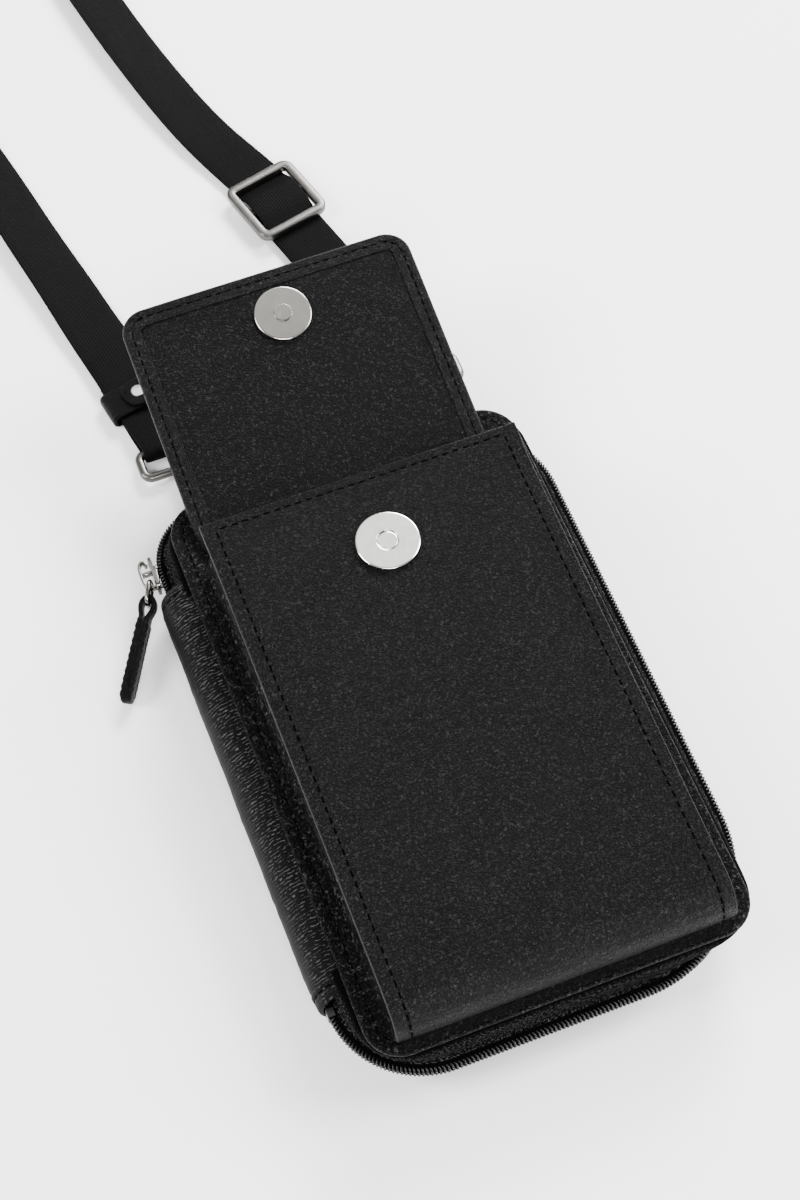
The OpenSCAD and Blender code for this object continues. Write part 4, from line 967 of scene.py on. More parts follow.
def make_pocket():
    path = pocket_path()
    face = path.marks[1]
    side_seam = 4.2
    across = [0, 0.08, 0.25, 0.5, 0.9, 1.6, 2.6, 3.4, 3.7, 3.95, 4.2, 4.45, 4.7, 5.0, 5.8, 7.0]
    along = [0, 0.1, 0.3, 0.6, 1.0, 1.8, 2.4, 2.75, 3.0, 3.25, 3.6, 4.2, 5.2, 6.5]
    xs = lines(-POCKET_HALF_W, POCKET_HALF_W, across, across, 1.6)
    ys = lines(0, path.length, along, [0, 0.8, 1.6], 1.5)

    def place(x, s, side):
        d = POCKET_HALF_W - abs(x)
        soft = min(1.0, s / 12) * min(1.0, max(0.0, (path.length - s) / 10))
        belly = 0.55 * math.sin(math.pi * min(1.0, s / face)) * math.cos(math.pi * x / 2 / POCKET_HALF_W)
        belly += 0.28 * waves(x, s, 0.035, 5.0) * soft
        edge = 0.35 * math.exp(-(d / 3.0) ** 2) * soft
        lift = belly - edge
        if side:
            lift += -edge_fall(d, 0.35) - edge_fall(s, 0.7) - dip(d, side_seam, 0.5, 0.22)
            if d > 3.6:
                lift -= dip(s, 3.0, 0.5, 0.22)
            creases = 0.18 * waves(x * 0.35, s * 2.2, 0.22, 2.0)
            lift += creases * max(0.0, 1 - abs(s - face - 8) / 12)
        else:
            lift += -1.8 + edge_fall(s, 0.5)
        flare = 0.7 * math.exp(-((s / 9.0) ** 2)) * (1.0 if x > 0 else 0.45) * (abs(x) / POCKET_HALF_W) ** 6
        y, z, _, _ = path.at(s, -lift - flare * 0.4)
        wide = x + flare * (1 if x > 0 else -1) * 0.8
        return (wide, y, z)

    bm = panel(xs, ys, place)
    # the side edge faces get the lighter edge finish: edge paint with a painted highlight
    paint_edges(bm, lambda at: abs(at[0]) > POCKET_HALF_W - 0.3)
    finished("pocket_panel", bm, "front_half", "pocket_leather", "edge_paint_and_highlight", slot="leather_face",
             stands_for=["pocket_front"])
    thread = bmesh.new()
    block = small_block(1.9, 0.62, 0.42, 0.16)
    for edge in (-1, 1):
        def walk(s, edge=edge):
            a, b = Vector(place(edge * (POCKET_HALF_W - side_seam), s + 2.6, 1)), Vector(place(edge * (POCKET_HALF_W - side_seam), s + 2.9, 1))
            out = Vector((1, 0, 0)).cross(a - b).normalized()
            return a + out * 0.04, out
        add_blocks(thread, block, stitch_places(walk, path.length - 5.5, lean=0.05 * edge))

    def mouth_walk(s):
        x = -POCKET_HALF_W + side_seam + s
        a = Vector(place(x, 3.0, 1))
        return a + Vector((0, 0, 0.04)), Vector((0, -math.sin(POCKET_TILT), math.cos(POCKET_TILT)))
    add_blocks(thread, block, stitch_places(mouth_walk, 2 * (POCKET_HALF_W - side_seam) + 1))
    finished("pocket_stitches", thread, "front_half", "thread", slot="leather_edge", turn_out=False)

    hem_line = Line([(-87.4, 26.9), (-89.6, 26.7), (-91.2, 26.1), (-92.3, 25.5), (-93.4, 25.16)])

    def foot_hem(x, s, side):
        gather = abs(math.sin(x * 1.55 + 1.8 * waves(x, s * 0.4, 0.5, 3.3))) - 0.5
        rise = (0.9 * gather * math.sin(math.pi * min(1.0, s / hem_line.length)) + 0.25 * waves(x, s, 0.9, 1.1)) if side else -0.7
        y, z, _, _ = hem_line.at(s, rise)
        return (x, y + 0.35 * waves(x, 0, 0.6, 5.0), max(z, FRONT_Z + (0.06 if side else 0.02)))
    finished("pocket_foot_hem", panel(lines(-47.6, 47.6, [0, 0.3], [0, 0.3], 0.4), lines(0, hem_line.length, [0], [0, 0.3], 0.6),
                                      foot_hem), "front_half", "foot_leather", slot="leather_face")

    liner_xs = lines(-47.2, 47.2, [0, 0.3], [0, 0.3], 2.4)
    liner_ys = lines(0.9, path.length - 0.6, [0, 0.2, 0.5], [0, 0.6], 2.4)

    def liner(x, s, side):
        belly = 0.55 * math.sin(math.pi * min(1.0, s / face)) * math.cos(math.pi * x / 2 / POCKET_HALF_W)
        off = -(belly - 1.82 - (0 if side else 0.85 - edge_fall(s - 0.9, 0.3)) - 0.12 * (waves(x, s, 0.07, 9) + 1))
        y, z, _, _ = path.at(s, off)
        return (x, y, z)
    finished("pocket_liner", panel(liner_xs, liner_ys, liner), "front_half", "lining_cloth", slot="cloth",
             stands_for=["pocket_lining"])

    under = Line([path.at(s, 1.85)[:2] for s in [0.2 + k * (path.marks[21] - 0.2) / 80 for k in range(81)]])
    for side_name, way in (("left", -1), ("right", 1)):
        ys2 = lines(0.0, under.length, [0, 0.1, 0.3, 0.7, 1.5, 2.6, 3.0, 3.4, 4.5, 6.0], [0, 1.0], 1.1)
        hs = lines(0.0, 21.0, [0, 0.6, 1.5, 2.5], [0, 0.6, 1.5, 2.5], 0.95)

        def gusset(s, height, side, way=way):
            h = height / 21.0
            y, top, _, _ = under.at(s)
            over = min(TUCK_R - 0.4, max(0.0, ROLL_Y - ROLL_R + TUCK_R - y))
            foot = max(FRONT_Z, ROLL_Z - math.sqrt((TUCK_R - 0.4) ** 2 - over * over)) if over else FRONT_Z
            tall = max(0.2, top - foot)
            z = foot + 0.02 + h * (tall - 0.05)
            fold = 2.3 * min(1.0, tall / 18) * math.exp(-((h - 0.48) / 0.2) ** 2)
            turn = 0.9 * math.exp(-(h / 0.07) ** 2) + 0.3 * math.exp(-((1 - h) / 0.06) ** 2)
            seam = 0.5 * math.exp(-((h - 0.16) / 0.03) ** 2) if side else 0
            rise = 0.2 * waves(y, z, 0.09, 4.0 + way) + (0.12 * waves(y * 0.7, z, 0.42, 6.0 + way) if side else 0)
            hem = 0.25 * (1 if s < 4 else 0) * (1 if side else 0) - dip(s, 3.0, 0.35, 0.25) * side
            x = 47.6 + (1.25 if side else 0) - fold + turn - seam * 0.5 + rise + hem - edge_fall(s, 0.5) * (1 if side else -0.4)
            return (way * x, y, z)
        bm = panel(ys2, hs, gusset)
        finished(side_name + "_gusset_fold", bm, "front_half", "gusset_leather", slot="leather_edge",
                 stands_for=[side_name + "_gusset"])


# ---------------------------------------------------------------- the flap

FLAP_HALF_W, FLAP_L, FLAP_RISE = 47.0, 76.0, math.radians(15)
CREASE_Y, CREASE_Z, ROOT_L = 80.0, 28.0, 22.0
FLAP_SEAM = ROOT_L + 12.0
FLAP_END = ROOT_L + FLAP_L
TIP_R = 8.0
BAND = 5.8


def flap_path():
    """The open flap's upper face from its root on the cover, over the crease, up to its tip."""
    points = [(CREASE_Y - ROOT_L, CREASE_Z), (CREASE_Y - 12, CREASE_Z)]
    for k in range(11):
        t = k / 10
        a, b = (CREASE_Y - 5, CREASE_Z), (CREASE_Y + 5 * math.cos(FLAP_RISE), CREASE_Z + 5 * math.sin(FLAP_RISE))
        c = (CREASE_Y, CREASE_Z)
        points.append(tuple((1 - t) ** 2 * p + 2 * t * (1 - t) * q + t * t * r for p, q, r in zip(a, c, b)))
    for s in (12, 40, FLAP_L + 0.06):
        points.append((CREASE_Y + s * math.cos(FLAP_RISE), CREASE_Z + s * math.sin(FLAP_RISE)))
    return Line(points)


def flap_inset(x, s, end):
    """Distance inside the flap's edge, with its round tip corners."""
    side, tip = FLAP_HALF_W - abs(x), end - s
    if side < TIP_R and tip < TIP_R:
        return TIP_R - math.hypot(TIP_R - side, TIP_R - tip)
    return min(side, tip)


def flap_half_width(s, end, r=TIP_R):
    over = max(0.0, s - (end - r))
    return FLAP_HALF_W - r + math.sqrt(max(0.0, r * r - over * over))


def make_flap():
    path = flap_path()
    end = path.length
    blends = {"root": ("front_half", "flap_middle", (0, 76.5, 0), (0, 84.0, 0)),
              "tip": ("flap_middle", "flap_end", (0, 99.5, 0), (0, 107.0, 0))}
    near = [0, 0.12, 0.35, 0.7, 1.1, 1.7, 2.3, 2.65, 2.9, 3.15, 3.5, 4.2, 5.0, 5.5, 5.8, 6.1, 6.8, 8.0]
    xs = lines(-FLAP_HALF_W, FLAP_HALF_W, near, near, 1.7)

    def droop(x, s):
        """The flap's gentle bow and waves, which its layers share."""
        out = max(0.0, s - ROOT_L) / FLAP_L
        return 0.5 * math.sin(math.pi * min(1, out)) * (1 - (x / FLAP_HALF_W) ** 2) * 0.6 + 0.35 * waves(x, s, 0.03, 6.6) * min(1, out * 2)

    def leaned(x, s):
        """The open flap lies a little to the left of the pocket."""
        share = min(1.0, max(0.0, (s - 12.0) / 12.0))
        share = share * share * (3 - 2 * share)
        return x * (1 + 0.012 * share) - 1.8 * share

    def top_of(x, s):
        d = flap_inset(x, s, end)
        h = -edge_fall(d, 1.25) - dip(d, 2.9, 0.36, 0.34) + 0.12 * math.exp(-((d - 4.4) / 0.9) ** 2)
        corner = math.hypot(max(0.0, abs(x) - FLAP_HALF_W + TIP_R), max(0.0, s - end + TIP_R))
        if d < BAND and corner > 1.5 and abs(x) > FLAP_HALF_W - TIP_R and s > end - TIP_R:
            a = math.atan2(s - end + TIP_R, abs(x) - FLAP_HALF_W + TIP_R)
            pleat = math.sin(a * 13 + 0.8 * math.sin(a * 5)) * math.sin(math.pi * min(1.0, max(0.0, (BAND - d) / BAND)))
            h += 0.32 * pleat * min(1, (corner - 1.5) / 2)
        crease = max(0.0, 1 - abs(s - ROOT_L) / 9)
        h += crease * 0.22 * waves(x * 0.5, s * 2.4, 0.3, 7.7)
        return h

    for part, low, high in (("root", 0.0, FLAP_SEAM), ("tip", FLAP_SEAM, end)):
        if part == "root":
            ys = lines(low, high, [0, 0.12, 0.35, 0.7, 1.2, 2.4, 2.9, 3.4, 4.2], [0], 1.3)
        else:
            ys = lines(low, high, [0], near, 1.3)

        def leather_layer(x, s, side):
            half = flap_half_width(s, end)
            d_side = FLAP_HALF_W - abs(x)
            x2 = x
            if half < FLAP_HALF_W:
                x2 = x * half / FLAP_HALF_W if d_side > 8 else math.copysign(max(half - d_side * half / FLAP_HALF_W, 0), x)
            d = flap_inset(x2, s, end)
            h = droop(x2, s)
            if side:
                h += top_of(x2, s)
                if d > BAND:
                    h -= 1.3 * min(1.0, (d - BAND) / 0.25)
                if s < 4:
                    h -= edge_fall(s, 0.7)
            else:
                h += -3.0 + edge_fall(d, 1.0)
            y, z, _, _ = path.at(s, h)
            return (leaned(x2, s), y, z)

        bm = panel(xs, ys, leather_layer)
        nodes = ["flap_root", "flap_bridge"] if part == "root" else ["flap_lid"]
        finished("flap_leather_" + part, bm, None, "turned_leather", slot="leather_face", stands_for=nodes,
                 blend=blends[part])

        inner = BAND - 0.15
        near_in = [0, 0.1, 0.3, 0.6, 1.2, 2.2]
        xi = lines(-FLAP_HALF_W + inner, FLAP_HALF_W - inner, near_in, near_in, 1.5)
        yi = lines(low + (0.8 if part == "root" else 0), high - (0 if part == "root" else inner), near_in if part == "root" else [0],
                   [0] if part == "root" else near_in, 1.3)

        def lining_layer(x, s, side):
            r = TIP_R - inner + 1.2
            over = max(0.0, s - (end - inner - r))
            half_in = FLAP_HALF_W - inner
            half = half_in - r + math.sqrt(max(0.0, r * r - over * over))
            x2 = x * half / half_in
            d = min(half - abs(x2), end - inner - s, s - 0.8 if s < 6 else 9)
            h = droop(x2, s)
            if side:
                h += -0.26 - edge_fall(d, 0.35) + 0.1 * min(1.0, d / 4)
                crease = max(0.0, 1 - abs(s - ROOT_L) / 9)
                h += crease * 0.22 * waves(x2 * 0.5, s * 2.4, 0.3, 7.7)
            else:
                h -= 1.42
            y, z, _, _ = path.at(s, h)
            return (leaned(x2, s), y, z)

        nodes = ["flap_bridge_lining"] if part == "root" else ["flap_lid_lining"]
        finished("flap_lining_" + part, panel(xi, yi, lining_layer), None, "flap_leather", slot="leather_inside",
                 stands_for=nodes, blend=blends[part])

        thread = bmesh.new()
        block = small_block(1.8, 0.46, 0.36, 0.12)
        if part == "root":
            runs = [[(edge * (FLAP_HALF_W - 2.9), 1.0 + k * (FLAP_SEAM - 1.0) / 20) for k in range(21)] for edge in (-1, 1)]
            runs.append([(-44 + k * 4.4, 2.9) for k in range(21)])
        else:
            r = TIP_R - 2.9
            cx, cs = FLAP_HALF_W - TIP_R, end - TIP_R
            runs = [[(-FLAP_HALF_W + 2.9, FLAP_SEAM + 0.3), (-FLAP_HALF_W + 2.9, cs)] + arc(-cx, cs, r, 180, 90, 8)
                    + arc(cx, cs, r, 90, 0, 8) + [(FLAP_HALF_W - 2.9, cs), (FLAP_HALF_W - 2.9, FLAP_SEAM + 0.3)]]
        for run in runs:
            seam = Line([p for i, p in enumerate(run) if i == 0 or math.dist(p, run[i - 1]) > 1e-3])

            def walk(t, seam=seam):
                x, s, _, _ = seam.at(t)
                h = droop(x, s) + top_of(x, s) + 0.12
                y, z, u, v = path.at(s, h)
                return (leaned(x, s), y, z), (0, -v, u)
            add_blocks(thread, block, stitch_places(walk, seam.length, 3.2, 0.6))
        finished("flap_stitches_" + part, thread, None, "thread", slot="leather_edge", turn_out=False, blend=blends[part])
    return droop, path


# ---------------------------------------------------------------- the snap

def on_flap(s, height=0.0):
    """The place on the open flap's upper face at a distance from the crease, as a matrix."""
    return (Matrix.Translation((0, CREASE_Y, CREASE_Z)) @ Matrix.Rotation(FLAP_RISE, 4, "X")
            @ Matrix.Translation((0, s, height)))


def on_pocket(s, height=0.0):
    """The place on the pocket's face at a distance from its mouth, as a matrix."""
    return (Matrix.Translation((0, MOUTH_Y, MOUTH_Z)) @ Matrix.Rotation(POCKET_TILT, 4, "X")
            @ Matrix.Translation((0, -s, height)))


def make_snap(droop):
    socket = turned_on_lathe([(0, -0.2), (9.1, -0.2), (9.4, -0.1), (9.5, 0.1), (9.5, 1.0), (9.44, 1.24), (9.26, 1.36),
                              (9.05, 1.4), (8.9, 1.4), (3.5, 1.4), (3.32, 1.4), (3.24, 1.34), (3.2, 1.24), (3.2, 0.15),
                              (3.05, 0.1), (2.95, 0.15), (2.95, 1.0), (2.9, 1.1), (2.78, 1.16), (2.6, 1.16), (0, 1.16)], 96)
    bmesh.ops.transform(socket, matrix=on_pocket(25.26, 0.45), verts=socket.verts[:])
    finished("snap_socket", socket, "front_half", "polished_nickel", slot="nickel", stands_for=["socket_shell"])
    stud = turned_on_lathe([(0, -0.7), (8.6, -0.7), (8.9, -0.6), (9.0, -0.4), (9.0, 0.8), (8.95, 1.04), (8.8, 1.16),
                            (8.6, 1.2), (8.45, 1.2), (3.1, 1.2), (2.94, 1.2), (2.86, 1.28), (2.84, 1.36), (2.84, 1.56),
                            (2.78, 1.66), (2.64, 1.7), (2.5, 1.7), (0, 1.7)], 96)
    bmesh.ops.transform(stud, matrix=on_flap(60.0, 0.0), verts=stud.verts[:])
    finished("snap_stud", stud, "flap_end", "stud_nickel", slot="nickel", stands_for=["stud_disc"])


# ---------------------------------------------------------------- rings, tabs, keeper and adjuster

def ring_stations(w, l, r, matrix, steps=8):
    """Stations round a rounded rectangle whose wire middle is w across and l high, standing on the origin."""
    x, y = w / 2 - r, l / 2 - r
    points = arc(x, y, r, 0, 90, steps) + arc(-x, y, r, 90, 180, steps) + arc(-x, -y, r, 180, 270, steps) + arc(x, -y, r, 270, 360, steps)
    outs = [(math.cos(math.radians(a)), math.sin(math.radians(a)))
            for start in (0, 90, 180, 270) for a in [start + 90 * k / steps for k in range(steps + 1)]]
    stations = [(matrix @ Vector((px, py + l / 2, 0)), matrix.to_3x3() @ Vector((ox, oy, 0)), matrix.to_3x3() @ Vector((0, 0, 1)))
                for (px, py), (ox, oy) in zip(points, outs)]
    return stations + [stations[0]]


def wire_profile(half_w, half_h, power=2.6, count=16):
    out = []
    for k in range(count):
        a = 2 * math.pi * k / count
        c, s = math.cos(a), math.sin(a)
        out.append((math.copysign(abs(c) ** (2 / power), c) * half_w, math.copysign(abs(s) ** (2 / power), s) * half_h))
    return out


def make_rings():
    for name, node, body, x in (("left_strap_ring", "left_ring", "left_strap_end", LEFT_RING_X),
                                ("right_strap_ring", "right_ring", "right_strap_end", RIGHT_RING_X)):
        matrix = Matrix.Translation((x, RING_LOW_Y, RING_Z))
        bm = carried(wire_profile(1.42, 1.42), ring_stations(23, 9.5, 2.5, matrix), closed=True)
        finished(name, bm, body, "satin_nickel", slot="satin_nickel", stands_for=[node])


def make_tabs():
    """Leather tabs from the back cover to the rings: a strip folded round each ring's lower bar and sewn."""
    thread = bmesh.new()
    for name, node, x in (("left_tab_strip", "left_strap_tab", -40.5), ("right_tab_strip", "right_strap_tab", 40.5)):
        r = 2.23
        run = Line([(86.5, 3.72), (100, 3.72), (113, 3.72), (117.5, 4.0), (120.2, 4.75)]
                   + arc(RING_LOW_Y, RING_Z, r, 112, -112, 18)
                   + [(120.2, 2.0), (117.5, 2.35), (113, 2.47), (100, 2.47), (86.5, 2.47)])
        xs = lines(-5.5, 5.5, [0, 0.1, 0.3, 0.6, 1.2, 1.6, 1.85, 2.1], [0, 0.1, 0.3, 0.6, 1.2, 1.6, 1.85, 2.1], 1.3)
        ss = lines(0, run.length, [0], [0], 1.1)

        def place(w, s, side, x=x, run=run):
            d = 5.5 - abs(w)
            fall = edge_fall(d, 0.35)
            if side == 0:
                off = -0.62 + fall
            else:
                off = 0.62 - fall - dip(d, 1.85, 0.25, 0.16)
            y, z, _, _ = run.at(s, off)
            return (x + w, y, z)
        finished(name, panel(xs, ss, place), "back_half", "small_leather", slot="leather_edge", stands_for=[node])
        for edge in (-1, 1):
            def walk(s, edge=edge, x=x, run=run):
                y, z, u, v = run.at(s, 0.6)
                return (x + edge * 3.65, y, z), (0, -v, u)
            add_blocks(thread, small_block(2.0, 0.45, 0.36, 0.12), stitch_places(walk, 31.0, 2.9, 8.0))
    finished("tab_stitches", thread, "back_half", "thread", slot="leather_edge", turn_out=False)


def on_left_end(s):
    return (Matrix.Translation((LEFT_RING_X - s * math.tan(LEFT_TURN), RING_HIGH_Y + s, 0))
            @ Matrix.Rotation(LEFT_TURN, 4, "Z"))


def make_keeper():
    """A leather band round the strap's sewn end, with its tongue over the top and a rivet through both."""
    low, high, half = 1.7, 4.15, 9.95
    r = 1.3
    loop = arc(half - 0.2, high - 0.5, r + 0.3, 0, 90, 5) + arc(-half + 0.2, high - 0.5, r + 0.3, 90, 180, 5) \
        + arc(-half + 0.2, low + 0.5, r + 0.3, 180, 270, 5) + arc(half - 0.2, low + 0.5, r + 0.3, 270, 360, 5)
    stations = [(on_left_end(22.5) @ Vector((x, 0, z)), None, None) for x, z in loop]
    turn = on_left_end(22.5).to_3x3()
    rows = []
    for i, (x, z) in enumerate(loop):
        a, b = loop[(i - 1) % len(loop)], loop[(i + 1) % len(loop)]
        d = math.hypot(b[0] - a[0], b[1] - a[1])
        out = Vector(((b[1] - a[1]) / d, 0, -(b[0] - a[0]) / d))
        rows.append((stations[i][0], turn @ Vector((0, 1, 0)), turn @ out))
    w = 5.5
    strip = [(w, -0.3), (w - 0.12, 0.1), (w - 0.45, 0.42), (w - 1.2, 0.5), (w - 1.6, 0.42), (w - 2.0, 0.5), (0, 0.56),
             (-w + 2.0, 0.5), (-w + 1.6, 0.42), (-w + 1.2, 0.5), (-w + 0.45, 0.42), (-w + 0.12, 0.1), (-w, -0.3),
             (-w + 0.2, -0.7), (w - 0.2, -0.7)]
    bm = carried(strip, rows + [rows[0]], closed=True)
    xs = lines(-5.5, 9.2, [0, 0.1, 0.3, 0.6, 1.1, 1.6, 2.1], [0, 0.6], 0.9)
    ys = lines(-5.45, 5.45, [0, 0.1, 0.3, 0.6, 1.1, 1.6, 2.1], [0, 0.1, 0.3, 0.6, 1.1, 1.6, 2.1], 0.9)

    def tongue(x, y, side):
        over = max(0.0, -x)
        half_w = math.sqrt(max(0.0, 5.45 ** 2 - over * over)) if x < 0 else 5.45
        y2 = y * max(half_w, 0.6) / 5.45
        d = 5.45 - math.hypot(x, y2) if x < 0 else 5.45 - abs(y2)
        bend = 0.9 * max(0.0, (x - 6.5) / 2.7) ** 2
        z = 5.32 + (1.3 - edge_fall(max(d, 0), 0.5) if side else 0.0) - bend
        return turn @ Vector((x, y2, z)) + on_left_end(22.5).translation
    top = panel(xs, ys, tongue)
    bmesh.ops.recalc_face_normals(top, faces=top.faces[:])
    spare = bpy.data.meshes.new("tongue")
    top.to_mesh(spare)
    top.free()
    bmesh.ops.recalc_face_normals(bm, faces=bm.faces[:])
    bm.from_mesh(spare)
    bpy.data.meshes.remove(spare)
    finished("strap_keeper_band", bm, "left_strap_end", "small_leather", slot="leather_edge", stands_for=["strap_keeper"],
             turn_out=False)
    rivet = turned_on_lathe([(0, 5.0), (1.2, 5.0), (1.2, 6.4), (2.1, 6.45), (2.3, 6.55), (2.3, 6.8), (2.2, 6.96), (2.0, 7.03),
                             (1.8, 7.05), (0, 7.1)], 48)
    bmesh.ops.transform(rivet, matrix=on_left_end(22.5), verts=rivet.verts[:])
    finished("keeper_rivet_cap", rivet, "left_strap_end", "polished_nickel", slot="nickel", stands_for=["keeper_rivet"])


def make_adjuster():
    """A flat frame with round corners and a bevelled opening, and a round centre bar."""
    bm = bmesh.new()
    bmesh.ops.create_grid(bm, x_segments=1, y_segments=1, size=0.5)
    bmesh.ops.scale(bm, vec=(26.5, 27, 1), verts=bm.verts[:])
    bmesh.ops.bevel(bm, geom=bm.verts[:], offset=3.84, offset_type="OFFSET", affect="VERTICES", segments=8, profile=0.5,
                    material=-1)
    middle = bm.faces[:][0]
    bmesh.ops.inset_individual(bm, faces=[middle], thickness=3.2, depth=0, use_even_offset=True)
    bmesh.ops.delete(bm, geom=[middle], context="FACES_ONLY")
    raised = bmesh.ops.extrude_face_region(bm, geom=bm.faces[:])["geom"]
    bmesh.ops.translate(bm, vec=(0, 0, 3.0), verts=[g for g in raised if isinstance(g, bmesh.types.BMVert)])
    bmesh.ops.recalc_face_normals(bm, faces=bm.faces[:])
    rims = [e for e in bm.edges if e.calc_face_angle(0) > math.radians(60)]
    bmesh.ops.bevel(bm, geom=rims, offset=0.75, offset_type="OFFSET", affect="EDGES", segments=3, profile=0.5, material=-1)
    place = Matrix.Translation((ADJUSTER_X, ADJUSTER_Y, 2.95)) @ Matrix.Rotation(RIGHT_TURN, 4, "Z")
    bmesh.ops.transform(bm, matrix=place, verts=bm.verts[:])
    finished("adjuster_buckle", bm, "adjuster", "satin_nickel", slot="satin_nickel", stands_for=["adjuster_frame"])
    bar = turned_on_lathe([(0, -11.6), (1.2, -11.6), (1.2, 11.6), (0, 11.6)], 28)
    bmesh.ops.transform(bar, matrix=Matrix.Translation((ADJUSTER_X, ADJUSTER_Y, 4.15)) @ Matrix.Rotation(RIGHT_TURN, 4, "Z")
                        @ Matrix.Rotation(math.pi / 2, 4, "Y"), verts=bar.verts[:])
    finished("adjuster_centre_bar", bar, "adjuster", "satin_nickel", slot="satin_nickel", stands_for=["adjuster_bar"])


# ---------------------------------------------------------------- slider and pull

SLIDER_X, SLIDER_Y = -64.9, 80.0
LINK_PLACE = (Matrix.Translation((-66.14, 79.1, MID_Z)) @ Matrix.Rotation(math.radians(245), 4, "Z")
              @ Matrix.Rotation(math.radians(13.5), 4, "Y"))
PULL_PLACE = LINK_PLACE @ Matrix.Translation((7, 0, 0)) @ Matrix.Rotation(math.radians(-7), 4, "Z")


def joined(bm, other):
    """Adds another bmesh's shape to the first."""
    bmesh.ops.recalc_face_normals(other, faces=other.faces[:])
    spare = bpy.data.meshes.new("spare")
    other.to_mesh(spare)
    other.free()
    bm.from_mesh(spare)
    bpy.data.meshes.remove(spare)
    return bm


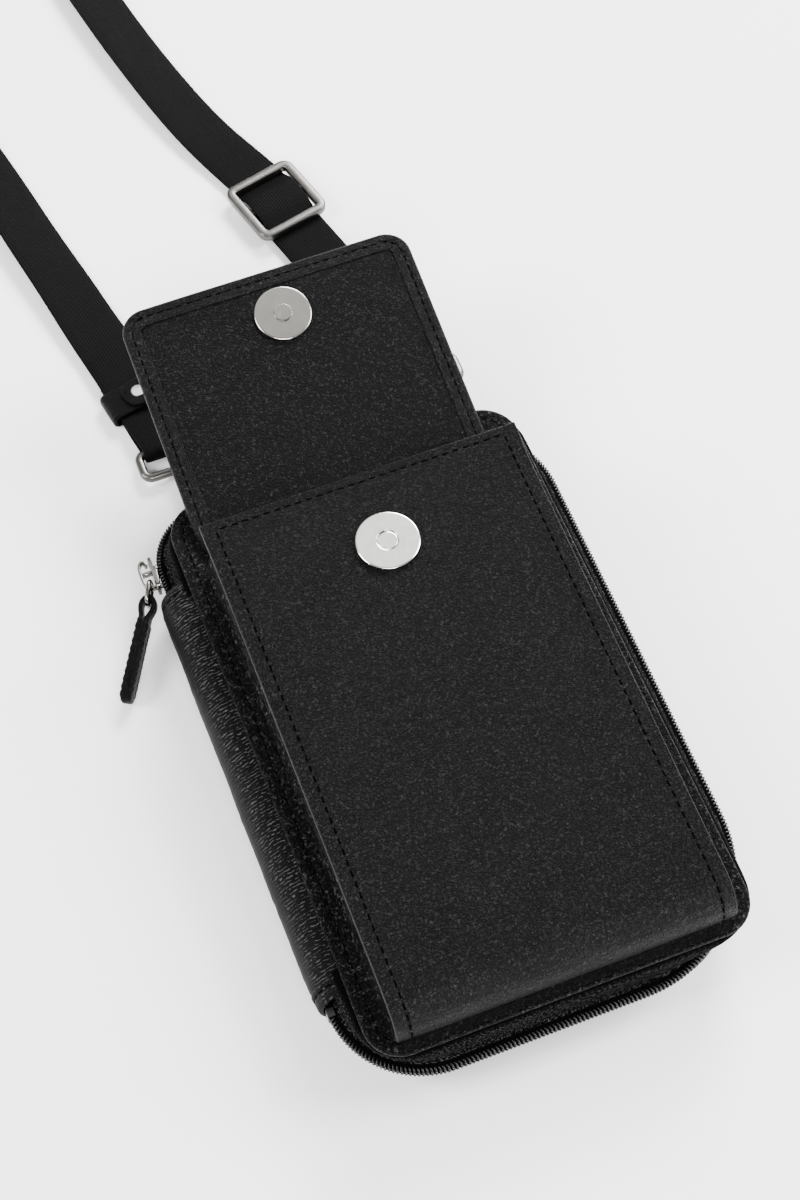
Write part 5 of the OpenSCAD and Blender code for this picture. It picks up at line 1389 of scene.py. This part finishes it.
def make_slider():
    """The slider: a thin shield over the chain with rolled sides, and a flat wire bail that holds the pull's link."""
    shield = rounded_plate(6.4, 12.4, (1.6, 1.6, 2.8, 2.8), -0.4, 0.4, top=[(0.18, 0.12), (0.3, 0.1)], under=[(0.2, 0.1)],
                           segments=8)
    face_out = Matrix(((0, 0, -1), (0, 1, 0), (1, 0, 0))).to_4x4()
    bmesh.ops.transform(shield, matrix=Matrix.Translation((SLIDER_X + 0.7, SLIDER_Y + 1.4, MID_Z)) @ face_out, verts=shield.verts[:])
    bm = joined(bmesh.new(), shield)
    for side in (-1, 1):
        roll = [(SLIDER_X + x, SLIDER_Y + y, MID_Z + side * 2.55) for x, y in ((1.0, -3.0), (1.2, -1.0), (1.4, 1.0), (1.5, 3.0))]
        stations = [(Vector(p), Vector((1, 0, 0)), Vector((0, 0, side))) for p in roll]
        joined(bm, carried(wire_profile(0.55, 0.5, 3.0, 14), stations))
        hook = [((SLIDER_X + x, SLIDER_Y + 2.0, MID_Z + side * z)) for x, z in ((0.9, 2.7), (1.7, 2.75), (2.3, 2.6), (2.8, 2.3))]
        stations = [(Vector(p), Vector((0, 1, 0)), Vector((0, 0, 1))) for p in hook]
        joined(bm, carried(wire_profile(0.65, 0.42, 2.4, 12), stations))
    for at, size in (((SLIDER_X - 1.3, SLIDER_Y + 2.4, MID_Z), (3.4, 1.2, 1.9)),
                     ((SLIDER_X + 3.9, SLIDER_Y - 3.0, MID_Z), (6.6, 1.9, 1.0)),
                     ((SLIDER_X + 7.2, SLIDER_Y - 0.9, MID_Z), (0.8, 5.6, 2.0))):
        add_blocks(bm, small_block(*size, 0.25), [(at, (1, 0, 0), (0, 0, 1))])
    bail = curve_through([(SLIDER_X + x, SLIDER_Y + y, 0) for x, y in
                          ((-0.7, 5.2), (-0.95, 6.3), (-1.75, 6.8), (-2.6, 6.2), (-3.1, 4.8), (-3.25, 2.6), (-3.2, 0.0),
                           (-2.9, -1.6), (-2.0, -2.7), (-0.8, -3.1), (0.4, -3.0))], 0.5)
    last, stations = len(bail) - 1, []
    for i, p in enumerate(bail):
        way = (Vector(bail[min(i + 1, last)]) - Vector(bail[max(i - 1, 0)])).normalized()
        stations.append((Vector((p[0], p[1], MID_Z)), Vector((0, 0, 1)), way.cross(Vector((0, 0, 1)))))
    joined(bm, carried(wire_profile(1.2, 0.5, 3.2, 14), stations))
    finished("slider_body", bm, "slider", "slider_nickel", slot="nickel", stands_for=["zip_slider"], turn_out=False)

    lying = Matrix(((0, 1, 0), (0, 0, 1), (1, 0, 0))).to_4x4()
    wire = carried(wire_profile(0.78, 0.78, 2.0, 14), ring_stations(6.0, 7.0, 1.9, LINK_PLACE @ lying), closed=True)
    finished("slider_link", wire, "link", "slider_nickel", slot="nickel", stands_for=["pull_link"])

    # The pull is one strip: up one side, round the eye and down the other, sewn together below the eye.
    side_line = [(31.4, 0.76), (20, 0.76), (6.6, 0.76), (5.0, 0.85), (3.7, 1.2), (2.4, 1.7), (1.0, 2.0), (-0.4, 1.9), (-1.6, 1.35),
                 (-2.25, 0.65)]
    eye = curve_through([(x, y, 0) for x, y in side_line] + [(-2.45, 0.0, 0)] + [(x, -y, 0) for x, y in side_line[::-1]], 0.8)
    run = Line([(x, y) for x, y, _ in eye])
    half = run.length / 2
    rim = [0, 0.1, 0.28, 0.5, 0.8, 1.1, 1.4]

    def strip(s, w, side):
        away = abs(s - half)
        share = min(1.0, max(0.0, (away - 6.5) / 4.0))
        share = share * share * (3 - 2 * share)
        wide = 2.15 + (3.6 - 2.15) * share
        to_tip = min(s, run.length - s)
        if to_tip < 3.6:
            wide *= math.sqrt(max(0.05, 1 - ((3.6 - to_tip) / 3.7) ** 2))
        at_edge = (3.9 - abs(w)) * wide / 3.9
        scallop = 0.13 * math.sin(2 * math.pi * s / 2.4) if away > 8 else 0.0
        cap = math.sqrt(1 - (max(0.0, 1.7 - to_tip) / 1.8) ** 2)
        thick = (0.72 + 0.4 * share + scallop) * cap
        off = thick - edge_fall(at_edge, 0.6) - dip(at_edge, 1.15, 0.22, 0.14) if side else -0.73 + edge_fall(at_edge, 0.2)
        x, y, _, _ = run.at(s, -off)
        return PULL_PLACE @ Vector((x, y, math.copysign(abs(w) * wide / 3.9 + scallop * (abs(w) / 3.9) ** 4, w)))
    bm = panel(lines(0, run.length, [0, 0.3, 0.7, 1.2, 1.8, 2.6], [0, 0.3, 0.7, 1.2, 1.8, 2.6], 0.4),
               lines(-3.9, 3.9, rim, rim, 0.9), strip)
    finished("pull_strip", bm, "pull", "small_leather", slot="leather_edge", stands_for=["pull_tab"])
    thread = bmesh.new()
    for edge in (-1, 1):
        for start, end in ((2.6, half - 9.5), (half + 9.5, run.length - 2.6)):
            def walk(t, edge=edge, start=start):
                x, y, u, v = run.at(start + t, -1.08)
                turn = PULL_PLACE.to_3x3()
                return PULL_PLACE @ Vector((x, y, edge * 2.55)), turn @ Vector((v, -u, 0))
            add_blocks(thread, small_block(1.5, 0.42, 0.3, 0.1), stitch_places(walk, end - start, 2.4, 0.4))
    finished("pull_stitches", thread, "pull", "thread", slot="leather_edge", turn_out=False)


def dress_the_rest():
    """The small CAD parts that keep their shape get their finishes."""
    finishes = {"back_board": "board", "front_board": "board", "socket_magnet": "magnet", "socket_washer": "steel_washer",
                "stud_washer": "steel_washer", "zip_bottom_stop": "zip_stop"}
    for node, finish in finishes.items():
        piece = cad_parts[node]
        piece.data.materials.clear()
        piece.data.materials.append(FINISH[finish])


def lay_the_floor():
    bm = bmesh.new()
    bmesh.ops.create_grid(bm, x_segments=1, y_segments=1, size=3)
    mesh = bpy.data.meshes.new("floor")
    bm.to_mesh(mesh)
    bm.free()
    floor = bpy.data.objects.new("floor", mesh)
    bpy.context.scene.collection.objects.link(floor)
    paper = Finish("pale_floor", (0.93, 0.93, 0.935), 0.7, laid=False)
    mesh.materials.append(paper.material)


place_camera()
FINISH = make_finishes()
make_strap()
light_the_studio()
lay_the_floor()
cover("back_cover_panel", "back_cover", "back_half", False)
cover("front_cover_panel", "front_cover", "front_half", True)
cover_stitches("back_cover_stitches", "back_half", False)
cover_stitches("front_cover_stitches", "front_half", True)
make_spine()
make_inside()
zip_wall("back_tape", "back_zip_tape", "back_half", False)
zip_wall("front_tape", "front_zip_tape", "front_half", True)
zip_beads("back_coil", "back_zip_coil", "back_half", False)
zip_beads("front_coil", "front_zip_coil", "front_half", True)
make_pocket()
flap_droop, _ = make_flap()
make_snap(flap_droop)
make_rings()
make_tabs()
make_keeper()
make_adjuster()
make_slider()
dress_the_rest()
